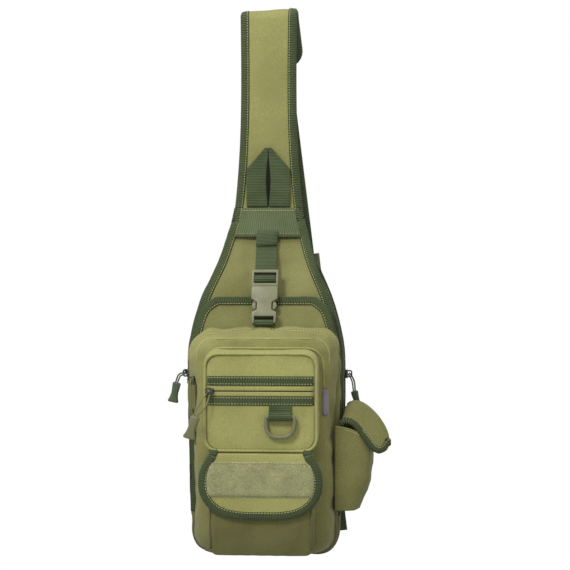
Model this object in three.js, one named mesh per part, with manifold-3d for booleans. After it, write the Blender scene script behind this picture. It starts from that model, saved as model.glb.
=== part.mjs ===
// Sling bag: a one-strap chest bag that hangs by the fold of its padded strap.
// Millimetres, +Z up, +X to the wearer's right hand in front view, the front faces -Y.
// The origin is the inner top of the strap's fold, where a peg or a hand holds the bag.
import * as THREE from 'three';
import { mergeVertices } from 'three/addons/utils/BufferGeometryUtils.js';
import Module from 'manifold-3d';

const wasm = await Module();
wasm.setup();

// ---------------------------------------------------------------- driving dimensions
const GAP = 0.3; // clearance between pieces that are sewn or rest together
const CLOTH = 2.5; // panel thickness with lining and foam
const BINDING = { proud: 1.2, width: 9 }; // edge binding stands proud by, and reaches in by

// Half-widths of the strap and the body, as [half, z] from the top down.
const STRAP_SIDE = [[34.5, 20], [33.5, -61], [34, -124], [36, -172], [40, -221], [44, -246]];
const BODY_SIDE = [[44, -246], [56.5, -291], [76, -338], [88, -386], [90, -420]];
const BODY = { half: 90, straightEnd: -560, hemHalf: 88, hem: -607, bottom: -632, corner: 25 };
const BACK = { rear: -5, front: -15 }; // the padded back panel, in y

// Front faces of the main and the middle compartment, as [y, z] from the top down.
const MAIN_FRONT = [[-19, -246], [-36, -275], [-50, -305], [-58, -335], [-60.3, -360], [-60.3, -640]];
const MID_FRONT = [[-66.5, -334], [-72, -350], [-76.5, -366], [-78, -380], [-78, -640]];
const MID_SIDE = [[60, -334], [74, -345], [81, -362], [85.5, -386], [86.5, -420]];
const MID = { half: 86.5, bottom: -626, corner: 24, back: -50 };

const STRAP = { front: -13, rear: -5, thick: 8, foldZ: -5, foldInner: 5, footFront: -19, bend: -226 };
const REAR_RUN = { end: -62, half: 34, corner: 20, lean: THREE.MathUtils.degToRad(7) };

const FRONT_POCKET = { back: -78.3, front: -110, top: -367, bottom: -622, half: 81, frontHalf: 70, frontTop: -378 };
const UPPER_POCKET = { back: -110.3, front: -134, top: -391, bottom: -502, half: 61, corner: 14 };
const UPPER_ZIP = { top: -431.6, bottom: -442.4 };
const TAPES = [['tape_strip_top', -420, -431], ['tape_strip_bottom', -443, -452]];
const LOWER_POCKET = { back: -110.3, front: -133, rim: -528, bottom: -620, half: 57, corner: 7 };
const FLAP = { back: -136.3, front: -138.9, top: -510, bottom: -578, topHalf: 56, half: 68 };

const D_RING = { x: 22, y: -139.6, z: -464.3, half: 18, drop: 27, wire: 4.5 };
const TAB = { half: 12.5, top: -452.3, inner: 3.5, outer: 5 };

const BUCKLE = { y: -86, z: -364.5, lean: THREE.MathUtils.degToRad(22), mouth: 45, thick: 9 };
const WEBBING = { wide: 38, narrow: 25, thick: 1.6 };
const REAR_STRAP = { x: 7, y: 3.9, z: -62, up: 32, ringDrop: 504, glideDrop: 238 };
const RING = { y: 3.4, half: 24, high: 20, bar: 3.2, inner: 2.6 };

const POUCH = { x: 91.6, front: -93, rear: -30, top: -478, bottom: -575 };
const SIDE_FLAP = { rear: -34, front: -90, thick: 2.2, band: 6 };

const CORD = { radius: 1.2, sides: 8 };
const GRIP = { length: 24, half: 5, waist: 3.2, thick: 5 };

// ---------------------------------------------------------------- materials
const COLOURS = {
  khaki: ['#9b955c', 0.9],
  khaki_shade: ['#7d7848', 0.92],
  green: ['#4a5639', 0.88],
  green_light: ['#66704a', 0.85],
  loop_pile: ['#8d8c60', 0.98],
  plastic: ['#8c8a69', 0.45],
  metal_dark: ['#2f332b', 0.4],
  rubber: ['#3c4a33', 0.6],
  label: ['#aaa0aa', 0.7],
};

function paint(name) {
  const [color, roughness] = COLOURS[name];
  return new THREE.MeshStandardMaterial({ color, roughness, metalness: name === 'metal_dark' ? 0.6 : 0 });
}

// ---------------------------------------------------------------- solids and booleans
function solid(geometry) {
  const plain = geometry.clone();
  plain.deleteAttribute('normal');
  plain.deleteAttribute('uv');
  const merged = mergeVertices(plain, 1e-4);
  return new wasm.Manifold(new wasm.Mesh({
    numProp: 3,
    vertProperties: new Float32Array(merged.attributes.position.array),
    triVerts: new Uint32Array(merged.index.array),
  }));
}

function geometryOf(body) {
  const mesh = body.getMesh();
  const geometry = new THREE.BufferGeometry();
  geometry.setAttribute('position', new THREE.BufferAttribute(mesh.vertProperties, 3));
  geometry.setIndex(new THREE.BufferAttribute(mesh.triVerts, 1));
  return geometry;
}

// A flat outline in x and z, given depth from its rear y to its front y.
function slab(shape, rear, front, segments = 3) {
  const geometry = new THREE.ExtrudeGeometry(shape, {
    depth: rear - front, bevelEnabled: false, curveSegments: segments,
  });
  geometry.rotateX(Math.PI / 2);
  geometry.translate(0, rear, 0);
  return solid(geometry);
}

const SIDEWAYS = new THREE.Matrix4().makeBasis(
  new THREE.Vector3(0, 1, 0), new THREE.Vector3(0, 0, 1), new THREE.Vector3(1, 0, 0),
);

// A side-view outline in y and z, given width from x low to x high.
function prism(shape, low, high, segments = 4) {
  const geometry = new THREE.ExtrudeGeometry(shape, {
    depth: high - low, bevelEnabled: false, curveSegments: segments,
  });
  geometry.applyMatrix4(SIDEWAYS);
  geometry.translate(low, 0, 0);
  return solid(geometry);
}

function box(low, high) {
  const size = high.map((value, axis) => value - low[axis]);
  const geometry = new THREE.BoxGeometry(...size);
  geometry.translate(...low.map((value, axis) => value + size[axis] / 2));
  return solid(geometry);
}

// The triangles that fill one flat ring, all turning the same way.
function capOf(ring, axes) {
  const flat = ring.map((point) => new THREE.Vector2(point[axes[0]], point[axes[1]]));
  const clockwise = THREE.ShapeUtils.isClockWise(flat);
  const cap = THREE.ShapeUtils.triangulateShape(flat, []);
  return cap.map((face) => (clockwise ? [...face].reverse() : face));
}

// A closed skin over rings of points that all have the same count, capped flat at both ends.
function loft(rings, capAxes) {
  const count = rings[0].length;
  const points = rings.flat();
  const faces = [];
  for (let ring = 0; ring + 1 < rings.length; ring += 1) {
    for (let at = 0; at < count; at += 1) {
      const a = ring * count + at;
      const b = ring * count + ((at + 1) % count);
      faces.push([a, b, b + count], [a, b + count, a + count]);
    }
  }
  const last = (rings.length - 1) * count;
  capOf(rings[0], capAxes).forEach(([a, b, c]) => faces.push([c, b, a]));
  capOf(rings.at(-1), capAxes).forEach(([a, b, c]) => faces.push([a + last, b + last, c + last]));
  const insideOut = faces.reduce((sum, [a, b, c]) => (
    sum + points[a].dot(new THREE.Vector3().crossVectors(points[b], points[c]))), 0) < 0;
  if (insideOut) faces.forEach((face) => face.reverse());
  const geometry = new THREE.BufferGeometry();
  geometry.setAttribute('position', new THREE.Float32BufferAttribute(points.flatMap((p) => [p.x, p.y, p.z]), 3));
  geometry.setIndex(faces.flat());
  return solid(geometry);
}

// ---------------------------------------------------------------- outlines
function polygon(points) {
  return new THREE.Shape(points.map(([a, b]) => new THREE.Vector2(a, b)));
}

function rectangle(left, bottom, right, top) {
  return polygon([[left, bottom], [right, bottom], [right, top], [left, top]]);
}

function roundedRectangle(half, top, bottom, radius) {
  const shape = new THREE.Shape();
  shape.moveTo(half, top - radius);
  shape.absarc(half - radius, top - radius, radius, 0, Math.PI / 2);
  shape.absarc(-half + radius, top - radius, radius, Math.PI / 2, Math.PI);
  shape.absarc(-half + radius, bottom + radius, radius, Math.PI, Math.PI * 1.5);
  shape.absarc(half - radius, bottom + radius, radius, Math.PI * 1.5, Math.PI * 2);
  return shape;
}

// A symmetric outline whose sides run smoothly through [half, z] pairs to a straight skirt.
function bellOutline(side, inset, body) {
  const points = side.map(([half, z]) => new THREE.Vector2(half - inset, z));
  points[0].y -= inset;
  const half = body.half - inset;
  const hemHalf = (body.hemHalf ?? body.half) - inset;
  const bottom = body.bottom + inset;
  const flatHalf = hemHalf - body.corner + inset;
  const shape = new THREE.Shape();
  shape.moveTo(points[0].x, points[0].y);
  shape.splineThru(points.slice(1));
  if (body.straightEnd) shape.lineTo(half, body.straightEnd);
  shape.lineTo(hemHalf, body.bottom + body.corner);
  shape.quadraticCurveTo(hemHalf, bottom, flatHalf, bottom);
  shape.lineTo(-flatHalf, bottom);
  shape.quadraticCurveTo(-hemHalf, bottom, -hemHalf, body.bottom + body.corner);
  if (body.straightEnd) shape.lineTo(-half, body.straightEnd);
  const left = points.map((point) => new THREE.Vector2(-point.x, point.y)).reverse();
  shape.lineTo(left[0].x, left[0].y);
  shape.splineThru(left.slice(1));
  return shape;
}

const bodyOutline = (inset) => bellOutline(BODY_SIDE, inset, BODY);
const midOutline = (inset) => bellOutline(MID_SIDE, inset, MID);

function strapOutline(inset, end = -245.7) {
  const points = STRAP_SIDE.map(([half, z]) => new THREE.Vector2(half - inset, z));
  points[points.length - 1].y = end;
  const shape = new THREE.Shape();
  shape.moveTo(points[0].x, points[0].y);
  shape.splineThru(points.slice(1));
  const left = points.map((point) => new THREE.Vector2(-point.x, point.y)).reverse();
  shape.lineTo(left[0].x, left[0].y);
  shape.splineThru(left.slice(1));
  return shape;
}

function rearRunOutline(inset) {
  return roundedRectangle(REAR_RUN.half - inset, 60, REAR_RUN.end + inset, REAR_RUN.corner - inset / 2);
}

// A strip of webbing seen from its edge, through [y, z] points.
function edgeView(points, thick) {
  const path = points.map(([y, z]) => new THREE.Vector2(y, z));
  const offset = (at, side) => {
    const before = path[Math.max(at - 1, 0)];
    const after = path[Math.min(at + 1, path.length - 1)];
    const along = after.clone().sub(before).normalize();
    return [path[at].x - along.y * side * thick / 2, path[at].y + along.x * side * thick / 2];
  };
  const there = path.map((_, at) => offset(at, 1));
  const back = path.map((_, at) => offset(at, -1)).reverse();
  return polygon([...there, ...back]);
}

function loopView(y, z, inner, outer) {
  const shape = new THREE.Shape();
  shape.absarc(y, z, outer, 0, Math.PI * 2);
  const hole = new THREE.Path();
  hole.absarc(y, z, inner, 0, Math.PI * 2);
  shape.holes.push(hole);
  return shape;
}

// Everything behind a front face that is moved back by lift.
function behind(face, lift) {
  const points = face.map(([y, z]) => [y + lift, z]);
  const [top, bottom] = [points[0], points[points.length - 1]];
  return prism(polygon([[40, 0], [top[0], 0], ...points, [40, bottom[1]]]), -150, 150);
}

// ---------------------------------------------------------------- assembly
const bag = new THREE.Group();

function place(name, body, colour, parent = bag) {
  const mesh = new THREE.Mesh(geometryOf(body), paint(colour));
  mesh.name = name;
  parent.add(mesh);
  return mesh;
}

// ---------------------------------------------------------------- main body
const mainCore = slab(bodyOutline(CLOTH), 40, -160);

function makeMainBody() {
  const outline = slab(bodyOutline(0), 40, -160);
  const skin = behind(MAIN_FRONT, 0).subtract(behind(MAIN_FRONT, CLOTH));
  const wall = box([-150, -150, -700], [150, BACK.front - GAP, 0]);
  place('back_panel', slab(bodyOutline(0), BACK.rear, BACK.front), 'khaki_shade');
  place('main_front_panel', skin.intersect(outline), 'khaki');
  const gusset = outline.subtract(mainCore).intersect(behind(MAIN_FRONT, CLOTH + GAP)).intersect(wall);
  place('main_gusset', gusset, 'khaki_shade');
}

// A binding: the thin skin over an edge, cut off at its inner line.
function bindingOver(outline, faceBand) {
  const grown = slab(outline(-BINDING.proud), 40, -160).intersect(faceBand.outer);
  const kept = slab(outline(-GAP), 40, -160).intersect(faceBand.inner);
  return grown.subtract(kept).subtract(slab(outline(BINDING.width), 40, -160));
}

function makeBodyBindings() {
  const aboveHem = box([-150, -150, -585], [150, 60, -245.7]);
  const front = bindingOver(bodyOutline, {
    outer: behind(MAIN_FRONT, -BINDING.proud).subtract(behind(MAIN_FRONT, BINDING.width)),
    inner: behind(MAIN_FRONT, -GAP),
  });
  const midRoom = slab(midOutline(-GAP), MID.back, -160);
  const bandRoom = box([-150, -150, -266], [150, 60, -240]);
  const strips = front.intersect(aboveHem).subtract(midRoom).subtract(bandRoom);
  place('front_binding_left', strips.intersect(box([-150, -160, -700], [0, 60, 0])), 'green');
  place('front_binding_right', strips.intersect(box([0, -160, -700], [150, 60, 0])), 'green');
  const rear = bindingOver(bodyOutline, {
    outer: box([-150, BACK.front + 2, -700], [150, BACK.rear + BINDING.proud, 0]),
    inner: box([-150, -150, -700], [150, BACK.rear + GAP, 0]),
  });
  place('rear_binding', rear.intersect(aboveHem), 'green');
}

function makeMidCompartment() {
  const mainRoom = behind(MAIN_FRONT, -BINDING.proud - GAP);
  const outline = slab(midOutline(0), MID.back, -160).subtract(mainRoom);
  const skin = behind(MID_FRONT, 0).subtract(behind(MID_FRONT, CLOTH));
  place('mid_panel', skin.intersect(outline), 'khaki');
  const hollow = slab(midOutline(CLOTH), 0, -160);
  place('mid_gusset', outline.subtract(hollow).intersect(behind(MID_FRONT, CLOTH + GAP)), 'khaki_shade');
  const binding = bindingOver(midOutline, {
    outer: behind(MID_FRONT, -BINDING.proud).subtract(behind(MID_FRONT, 4)),
    inner: behind(MID_FRONT, -GAP),
  });
  const topOnly = box([-150, -160, -366], [150, 0, -300]);
  place('mid_binding', binding.intersect(topOnly).subtract(mainRoom), 'green');
}

// ---------------------------------------------------------------- strap
function strapView(grow) {
  const { front, rear, foldZ, foldInner, footFront, bend } = STRAP;
  const outer = foldInner + STRAP.thick + grow;
  const shape = new THREE.Shape();
  shape.moveTo(rear + grow, -300);
  shape.lineTo(rear + grow, foldZ);
  shape.absarc(0, foldZ, foldInner - grow, Math.PI, 0, true);
  shape.lineTo(foldInner - grow, -300);
  shape.lineTo(outer, -300);
  shape.lineTo(outer, foldZ);
  shape.absarc(0, foldZ, outer, 0, Math.PI, false);
  shape.lineTo(front - grow, bend);
  shape.lineTo(footFront - grow, -246);
  shape.lineTo(footFront - grow, -300);
  return shape;
}

// The strap's outline: its front run in front of the fold, its leaning rear run behind.
function strapPlan(inset, end) {
  const front = slab(strapOutline(inset, end), 0, -60);
  const rear = slab(rearRunOutline(inset), 60, -1);
  return front.add(rear.translate([0, 0, -STRAP.foldZ])
    .rotate([0, -THREE.MathUtils.radToDeg(REAR_RUN.lean), 0]).translate([0, 0, STRAP.foldZ]));
}

// Where the rear webbing runs between the strap's two runs.
function rearWebbingRoom() {
  const half = WEBBING.wide / 2 + GAP;
  const room = box([-half, -WEBBING.thick / 2 - GAP, -60], [half, WEBBING.thick / 2 + GAP, REAR_STRAP.up + 2]);
  return room.rotate([0, -THREE.MathUtils.radToDeg(REAR_RUN.lean), 0])
    .translate([REAR_STRAP.x, REAR_STRAP.y, REAR_STRAP.z]);
}

function makeStrap() {
  const pad = prism(strapView(0), -80, 80, 6).intersect(strapPlan(0));
  place('strap_pad', pad, 'khaki');
  const grown = prism(strapView(BINDING.proud), -80, 80, 6).intersect(strapPlan(-BINDING.proud));
  const kept = prism(strapView(GAP), -80, 80, 6).intersect(strapPlan(-GAP));
  const core = strapPlan(BINDING.width, -260);
  const bandRoom = box([-80, -60, -260], [80, 0, -228]);
  place('strap_binding', grown.subtract(kept).subtract(core).subtract(bandRoom)
    .subtract(rearWebbingRoom()), 'green');
}

function makeCrossBand() {
  const path = [[-15.3, -229.5], [-20.3, -245.6], [-31.2, -264]];
  const strip = prism(edgeView(path, WEBBING.thick), -46, 46);
  const outline = bellOutline([[42, -210], [43.5, -245], [50, -270]], 0, { half: 52, bottom: -300, corner: 2 });
  place('cross_band', strip.intersect(slab(outline, 0, -60)), 'green_light');
}

function makeGrabLoop() {
  const [foot, shoulder, apex, slitTop] = [-227.7, -183, -157, -163];
  const outline = polygon([
    [-26, foot], [-1.2, foot], [-2.6, -218], [0, slitTop], [2.6, -218], [1.2, foot],
    [26, foot], [26, shoulder], [3, apex], [-3, apex], [-26, shoulder],
  ]);
  place('grab_loop', slab(outline, -14.6, -17), 'green');
}

// ---------------------------------------------------------------- front pockets
function makeFrontPocket() {
  const { back, front, top, bottom, half, frontHalf, frontTop } = FRONT_POCKET;
  const ring = (depth, inset) => {
    const part = (depth - back) / (front - back);
    const halfHere = half + (frontHalf - half) * part - inset;
    const topHere = top + (frontTop - top) * part - inset;
    const outline = roundedRectangle(halfHere, topHere, bottom + inset, 16 - inset);
    return outline.getPoints(3).slice(0, -1).map((p) => new THREE.Vector3(p.x, depth, p.y));
  };
  const body = (from, to, inset) => loft([ring(to, inset), ring(from, inset)], ['x', 'z']);
  const shell = body(back, front + CLOTH + GAP, 0);
  const hollow = body(back + 5, front - 5, 2.2);
  place('front_pocket_gusset', shell.subtract(hollow), 'khaki_shade');
  place('front_pocket_panel', body(front + CLOTH, front, 0), 'khaki');
}

function makeUpperPocket() {
  const { back, front, top, bottom, half, corner } = UPPER_POCKET;
  const outline = (inset) => roundedRectangle(half - inset, top - inset, bottom + inset, corner - inset);
  const plate = slab(outline(0), front + 2, front);
  const tube = slab(outline(0), back, front + 2 + GAP).subtract(slab(outline(2), back + 5, front - 5));
  place('upper_pocket_gusset', tube, 'khaki_shade');
  const cut = (low, high) => plate.intersect(box([-80, -160, low], [80, 0, high]));
  place('upper_pocket_top_panel', cut(UPPER_ZIP.top + GAP, top + 5), 'khaki');
  place('upper_pocket_bottom_panel', cut(bottom - 5, UPPER_ZIP.bottom - GAP), 'khaki');
  place('upper_zip', cut(UPPER_ZIP.bottom, UPPER_ZIP.top), 'khaki_shade');
  const piping = slab(outline(-2), front + 4, front - 1.4).subtract(slab(outline(-GAP), back, front - 5));
  place('upper_pocket_piping', piping, 'khaki');
  TAPES.forEach(([name, high, low]) => {
    place(name, slab(rectangle(-60, low, 60, high), front - GAP, front - 1.5), 'green');
  });
  place('label', slab(rectangle(64, -466, 70, -437), FRONT_POCKET.front - GAP, -111.4), 'label');
}

function makeDRing() {
  const { x, y, z, half, drop, wire } = D_RING;
  const loop = prism(loopView(y, z, TAB.inner, TAB.outer), x - TAB.half, x + TAB.half);
  const tail = box([x - TAB.half, -136.6, z - 1], [x + TAB.half, UPPER_POCKET.front - GAP, TAB.top]);
  const hole = new THREE.Shape();
  hole.absarc(y, z, TAB.inner, 0, Math.PI * 2);
  place('d_ring_tab', loop.add(tail).subtract(prism(hole, x - 20, x + 20)), 'green');
  const dee = (inset) => {
    const shape = new THREE.Shape();
    const [top, low] = [z + wire / 2 - inset, z + wire / 2 - drop + inset];
    shape.moveTo(x - half + inset, top);
    shape.lineTo(x + half - inset, top);
    shape.lineTo(x + half - inset, top - 6);
    shape.quadraticCurveTo(x + half - inset, low, x, low);
    shape.quadraticCurveTo(x - half + inset, low, x - half + inset, top - 6);
    return shape;
  };
  const ring = slab(dee(0), y + wire / 2, y - wire / 2, 6).subtract(slab(dee(wire), y + 9, y - 9, 6));
  place('d_ring', ring, 'plastic');
}

// ---------------------------------------------------------------- lower pocket and its flap
function flapOutline(inset, top = FLAP.top) {
  const [topHalf, half, bottom] = [FLAP.topHalf - inset, FLAP.half - inset, FLAP.bottom + inset];
  const shape = new THREE.Shape();
  shape.moveTo(-topHalf, top);
  shape.lineTo(topHalf, top);
  shape.splineThru([new THREE.Vector2(half, -532), new THREE.Vector2(half - 4, -556)]);
  shape.quadraticCurveTo(half - 10, bottom, half - 34, bottom);
  shape.lineTo(34 - half, bottom);
  shape.quadraticCurveTo(10 - half, bottom, 4 - half, -556);
  shape.splineThru([new THREE.Vector2(-half, -532), new THREE.Vector2(-topHalf, top)]);
  return shape;
}

function makeLowerPocket() {
  const { back, front, rim, bottom, half, corner } = LOWER_POCKET;
  const outer = slab(roundedRectangle(half, rim, bottom, corner), back, front);
  const room = box([2 - half, front + 2, bottom + 2], [half - 2, back - 2, rim + 5]);
  place('lower_pocket', outer.subtract(room), 'khaki');
  const strip = (name, high, low, rear, wide, colour) => {
    place(name, slab(rectangle(-wide, low, wide, high), rear, rear - 1.2), colour);
  };
  strip('pocket_loop_strip', -540, -565, front - GAP, 50, 'loop_pile');
  strip('flap_hook_strip', -540, -565, front - 1.8, 46, 'green');
  place('flap_hinge_strip', box([-56, -136.2, -508], [56, back, -505]), 'khaki_shade');
}

function makeLowerFlap() {
  const { back, front, top } = FLAP;
  place('lower_flap', slab(flapOutline(0), back, front), 'khaki');
  const loopTop = -514;
  const panel = slab(flapOutline(9.6, top), front - GAP, front - 2.6);
  place('loop_panel', panel.intersect(box([-80, -160, -553], [80, 0, loopTop])), 'loop_pile');
  const grown = slab(flapOutline(-1), back + 1, front - 1.1);
  const kept = slab(flapOutline(-GAP, top + 2), back + GAP, front - GAP);
  const core = slab(flapOutline(BINDING.width, top + 2), 0, -160);
  const hookRoom = box([-47, back - GAP, -566], [47, back + 3, -539]);
  place('lower_flap_binding', grown.subtract(kept).subtract(core).subtract(hookRoom), 'green');
}

// ---------------------------------------------------------------- side pouch and its cover
function pouchRing(z, bulge, inset) {
  const { x, front, rear } = POUCH;
  const steps = 8;
  const squeeze = (34 - bulge) * 0.3;
  const middle = (front + rear) / 2;
  const reach = (rear - front) / 2 - squeeze - inset;
  const points = [];
  for (let step = 0; step <= steps; step += 1) {
    const angle = -Math.PI / 2 + (Math.PI * step) / steps;
    const out = Math.cos(angle) ** 0.6 * (bulge - inset * 2);
    points.push(new THREE.Vector3(x + inset + out, middle + Math.sin(angle) * reach, z));
  }
  return points;
}

function makeSidePouch() {
  const outside = [[POUCH.bottom, 14], [-560, 27], [-535, 33], [POUCH.top, 33]];
  const rings = (inset) => outside.map(([z, bulge], at) => {
    const lift = at === 0 ? inset : 0;
    return pouchRing(at === 3 ? z + inset * 2 : z + lift, bulge, inset);
  });
  const body = loft(rings(0), ['x', 'y']).subtract(loft(rings(2), ['x', 'y']));
  const rimCut = polygon([[80, -477], [140, -507], [140, -400], [80, -400]]);
  place('side_pouch', body.subtract(slab(rimCut, 0, -160)), 'khaki_shade');
}

// The cover's edge seen from the front, thickened, at one depth.
function coverRing(y, drop, grow, trim) {
  const path = [[93, -461], [101, -456 - drop * 0.5], [113, -461 - drop], [128, -475 - drop],
    [138, -492 - drop * 0.7], [141, -503 - drop * 0.5]];
  const curve = new THREE.SplineCurve(path.map(([x, z]) => new THREE.Vector2(x, z)));
  const count = 7;
  const half = SIDE_FLAP.thick / 2 + grow;
  const end = 1 - trim / curve.getLength();
  const sides = [[], []];
  for (let step = 0; step <= count; step += 1) {
    const at = (end * step) / count;
    const point = curve.getPointAt(Math.min(at, 1));
    const along = curve.getTangentAt(Math.min(at, 1));
    if (step === 0) point.addScaledVector(along, trim > 0 ? -4 : 0);
    if (step === count) point.addScaledVector(along, grow);
    sides[0].push(new THREE.Vector3(point.x - along.y * half, y, point.y + along.x * half));
    sides[1].push(new THREE.Vector3(point.x + along.y * half, y, point.y - along.x * half));
  }
  return [...sides[0], ...sides[1].reverse()];
}

function coverBody(grow, trim) {
  const { rear, front } = SIDE_FLAP;
  const depths = [[front - grow + trim, 16], [-76, 9], [-62, 5], [rear + grow - trim, 3]];
  return loft(depths.map(([y, drop]) => coverRing(y, drop, grow, trim)), ['x', 'z']);
}

function makeSideFlap() {
  place('side_flap', coverBody(0, 0), 'khaki');
  const rim = coverBody(1.2, 0).subtract(coverBody(GAP, 0)).subtract(coverBody(2, SIDE_FLAP.band));
  place('side_flap_binding', rim.subtract(box([80, -160, -480], [97, 0, -440])), 'green');
}

// ---------------------------------------------------------------- compression strap and buckle
// The buckle is built flat (x across, y away from the bag, z along it) and leans back as a group.
function makeBuckle() {
  const buckle = new THREE.Group();
  buckle.position.set(0, BUCKLE.y, BUCKLE.z);
  buckle.rotation.x = -BUCKLE.lean;
  bag.add(buckle);

  const [half, thick] = [15, BUCKLE.thick / 2];
  const sideOutline = [[13, 0], [14, 8], [14, 13.5], [8.5, 16.7], [8.5, 25.3], [half, 30], [half, BUCKLE.mouth]];
  const mirrored = sideOutline.map(([x, z]) => [-x, z]).reverse();
  const cavity = box([-13, -2.85, 15.5], [13, 2.85, 60]);
  const slot = box([-11, -9, 3.2], [11, 9, 8.4]);
  const barRelief = (low, high) => box([-11, low, -1], [11, high, 4]);
  const socket = slab(polygon([...sideOutline, ...mirrored]), thick, -thick)
    .subtract(cavity).subtract(slot).subtract(barRelief(2, 9)).subtract(barRelief(-9, -2));
  place('buckle_socket', socket, 'plastic', buckle);

  const ladder = slab(rectangle(-half, 45.6, half, 66), 3, -3);
  const window = (low, high) => box([-12.8, -9, low], [12.8, 9, high]);
  const barFree = (low, high) => box([-12.8, low, 49.3], [12.8, high, 61]);
  const stem = box([-2.5, -2.5, 24], [2.5, 2.5, 46]);
  const plug = ladder.subtract(window(49.3, 53)).subtract(window(56, 62.5))
    .subtract(barFree(1.5, 9)).subtract(barFree(-9, -1.5)).add(stem);
  place('buckle_plug', plug, 'plastic', buckle);

  [['plug_prong_left', -1], ['plug_prong_right', 1]].forEach(([name, side]) => {
    const outline = polygon([[9.5, 45.2], [9.5, 17.5], [12, 17], [14, 21], [14, 24.9], [12.5, 25.2], [12.5, 45.2]]
      .map(([x, z]) => [x * side, z]));
    place(name, slab(outline, 2.5, -2.5), 'plastic', buckle);
  });

  const loopAt = (z, inner) => prism(loopView(0, z, inner, inner + 1.2), -12.2, 12.2);
  const upperLoop = loopAt(54.5, 2.3);
  // The strip leaves the loop, passes in front of the top bar and runs up to the cross band.
  const route = [[-2.9, 54.5], [-4, 60], [-4.2, 66], [3, 80], [9.8, 98], [10.2, 113], [11.4, 121]];
  const strip = prism(edgeView(route, 1.2), -12.2, 12.2);
  const room = prism(new THREE.Shape().absarc(0, 54.5, 2.3, 0, Math.PI * 2), -20, 20);
  place('buckle_webbing_upper', upperLoop.add(strip).subtract(room), 'green_light', buckle);

  const lowerRoom = prism(new THREE.Shape().absarc(0, 1.6, 2.7, 0, Math.PI * 2), -20, 20);
  const tail = prism(edgeView([[3.1, 1.6], [5.2, 0.4], [7.4, 2.4], [7.2, 9]], 1.2), -10.6, 10.6);
  const lowerLoop = prism(loopView(0, 1.6, 2.7, 3.9), -10.6, 10.6);
  place('buckle_webbing_lower', lowerLoop.add(tail).subtract(lowerRoom), 'green_light', buckle);
}

// ---------------------------------------------------------------- rear webbing, built in a leaning group
function makeRearStrap() {
  const rear = new THREE.Group();
  rear.position.set(REAR_STRAP.x, REAR_STRAP.y, REAR_STRAP.z);
  rear.rotation.y = -REAR_RUN.lean;
  bag.add(rear);

  const { up, ringDrop, glideDrop } = REAR_STRAP;
  const [half, thick] = [WEBBING.wide / 2, WEBBING.thick];
  const outerRadius = RING.inner + thick;
  const front = box([-half, -thick / 2, GAP - ringDrop], [half, thick / 2, up]);
  const turn = prism(loopView(RING.y, -ringDrop, RING.inner, outerRadius), -half, half);
  const lowerHalf = box([-50, -20, -ringDrop - 20], [50, 20, -ringDrop]);
  place('strap_webbing', front, 'green', rear);
  place('webbing_turn', turn.intersect(lowerHalf), 'green', rear);
  const returnY = RING.y + RING.inner;
  const back = box([-half, returnY, GAP - ringDrop], [half, returnY + thick, -glideDrop + 6]);
  place('return_webbing', back, 'green', rear);

  // Tri-glide: side rails, two rear bars and one front bar, with the webbing threaded between.
  const rails = slab(rectangle(-25, -13.5, 25, 13.5), 3, -3)
    .subtract(box([-19.8, -9, -20], [19.8, 9, 20]));
  const bar = (low, high, z) => box([-22, low, z - 2], [22, high, z + 2]);
  const glide = rails.add(bar(1.2, 3, 11.4)).add(bar(1.2, 3, -11.4)).add(bar(-3, -1.2, 0));
  place('tri_glide', glide.translate([0, 0, -glideDrop]), 'plastic', rear);

  const low = -ringDrop - RING.high + RING.bar;
  const loopOutline = (inset) => rectangle(-RING.half + inset, low - RING.bar / 2 + inset,
    RING.half - inset, -ringDrop + RING.bar / 2 - inset);
  const [barRear, barFront] = [RING.y + RING.bar / 2, RING.y - RING.bar / 2];
  const ring = slab(loopOutline(0), barRear, barFront).subtract(slab(loopOutline(RING.bar), 20, -20));
  place('strap_ring', ring, 'plastic', rear);

  const tabHalf = half - 0.5;
  const hook = prism(loopView(RING.y, low, RING.inner, RING.inner + 1.6), -tabHalf, tabHalf);
  const tongue = prism(edgeView([[RING.y, low - 3.4], [-4, low - 10], [-7.4, low - 16], [-7.4, low - 34]], 1.6),
    -tabHalf, tabHalf);
  const room = prism(new THREE.Shape().absarc(RING.y, low, RING.inner, 0, Math.PI * 2), -50, 50);
  place('anchor_tab', hook.add(tongue).subtract(room), 'green', rear);
}

// ---------------------------------------------------------------- zip sliders and pulls
// A slider lies flat: x along the zip, y across it, z away from the cloth, with a bail on top.
function sliderSolid() {
  const base = new THREE.ExtrudeGeometry(polygon([[-5, -2.6], [-2, -4], [4, -4], [5, 0], [4, 4], [-2, 4], [-5, 2.6]]), {
    depth: 2.6, bevelEnabled: false,
  });
  const arch = polygon([[-4.4, 2], [4.4, 2], [4.4, 6], [3, 8], [-3, 8], [-4.4, 6]]);
  arch.holes.push(new THREE.Path([[-2.7, 2.9], [2.7, 2.9], [2.7, 6.4], [-2.7, 6.4]]
    .map(([x, z]) => new THREE.Vector2(x, z))));
  return solid(base).add(slab(arch, 1.2, -1.2));
}

const ACROSS = {
  front: new THREE.Matrix4().makeRotationX(Math.PI / 2),
  right: new THREE.Matrix4().makeBasis(
    new THREE.Vector3(0, 0, 1), new THREE.Vector3(0, -1, 0), new THREE.Vector3(1, 0, 0)),
  left: new THREE.Matrix4().makeBasis(
    new THREE.Vector3(0, 0, 1), new THREE.Vector3(0, 1, 0), new THREE.Vector3(-1, 0, 0)),
};

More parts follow.
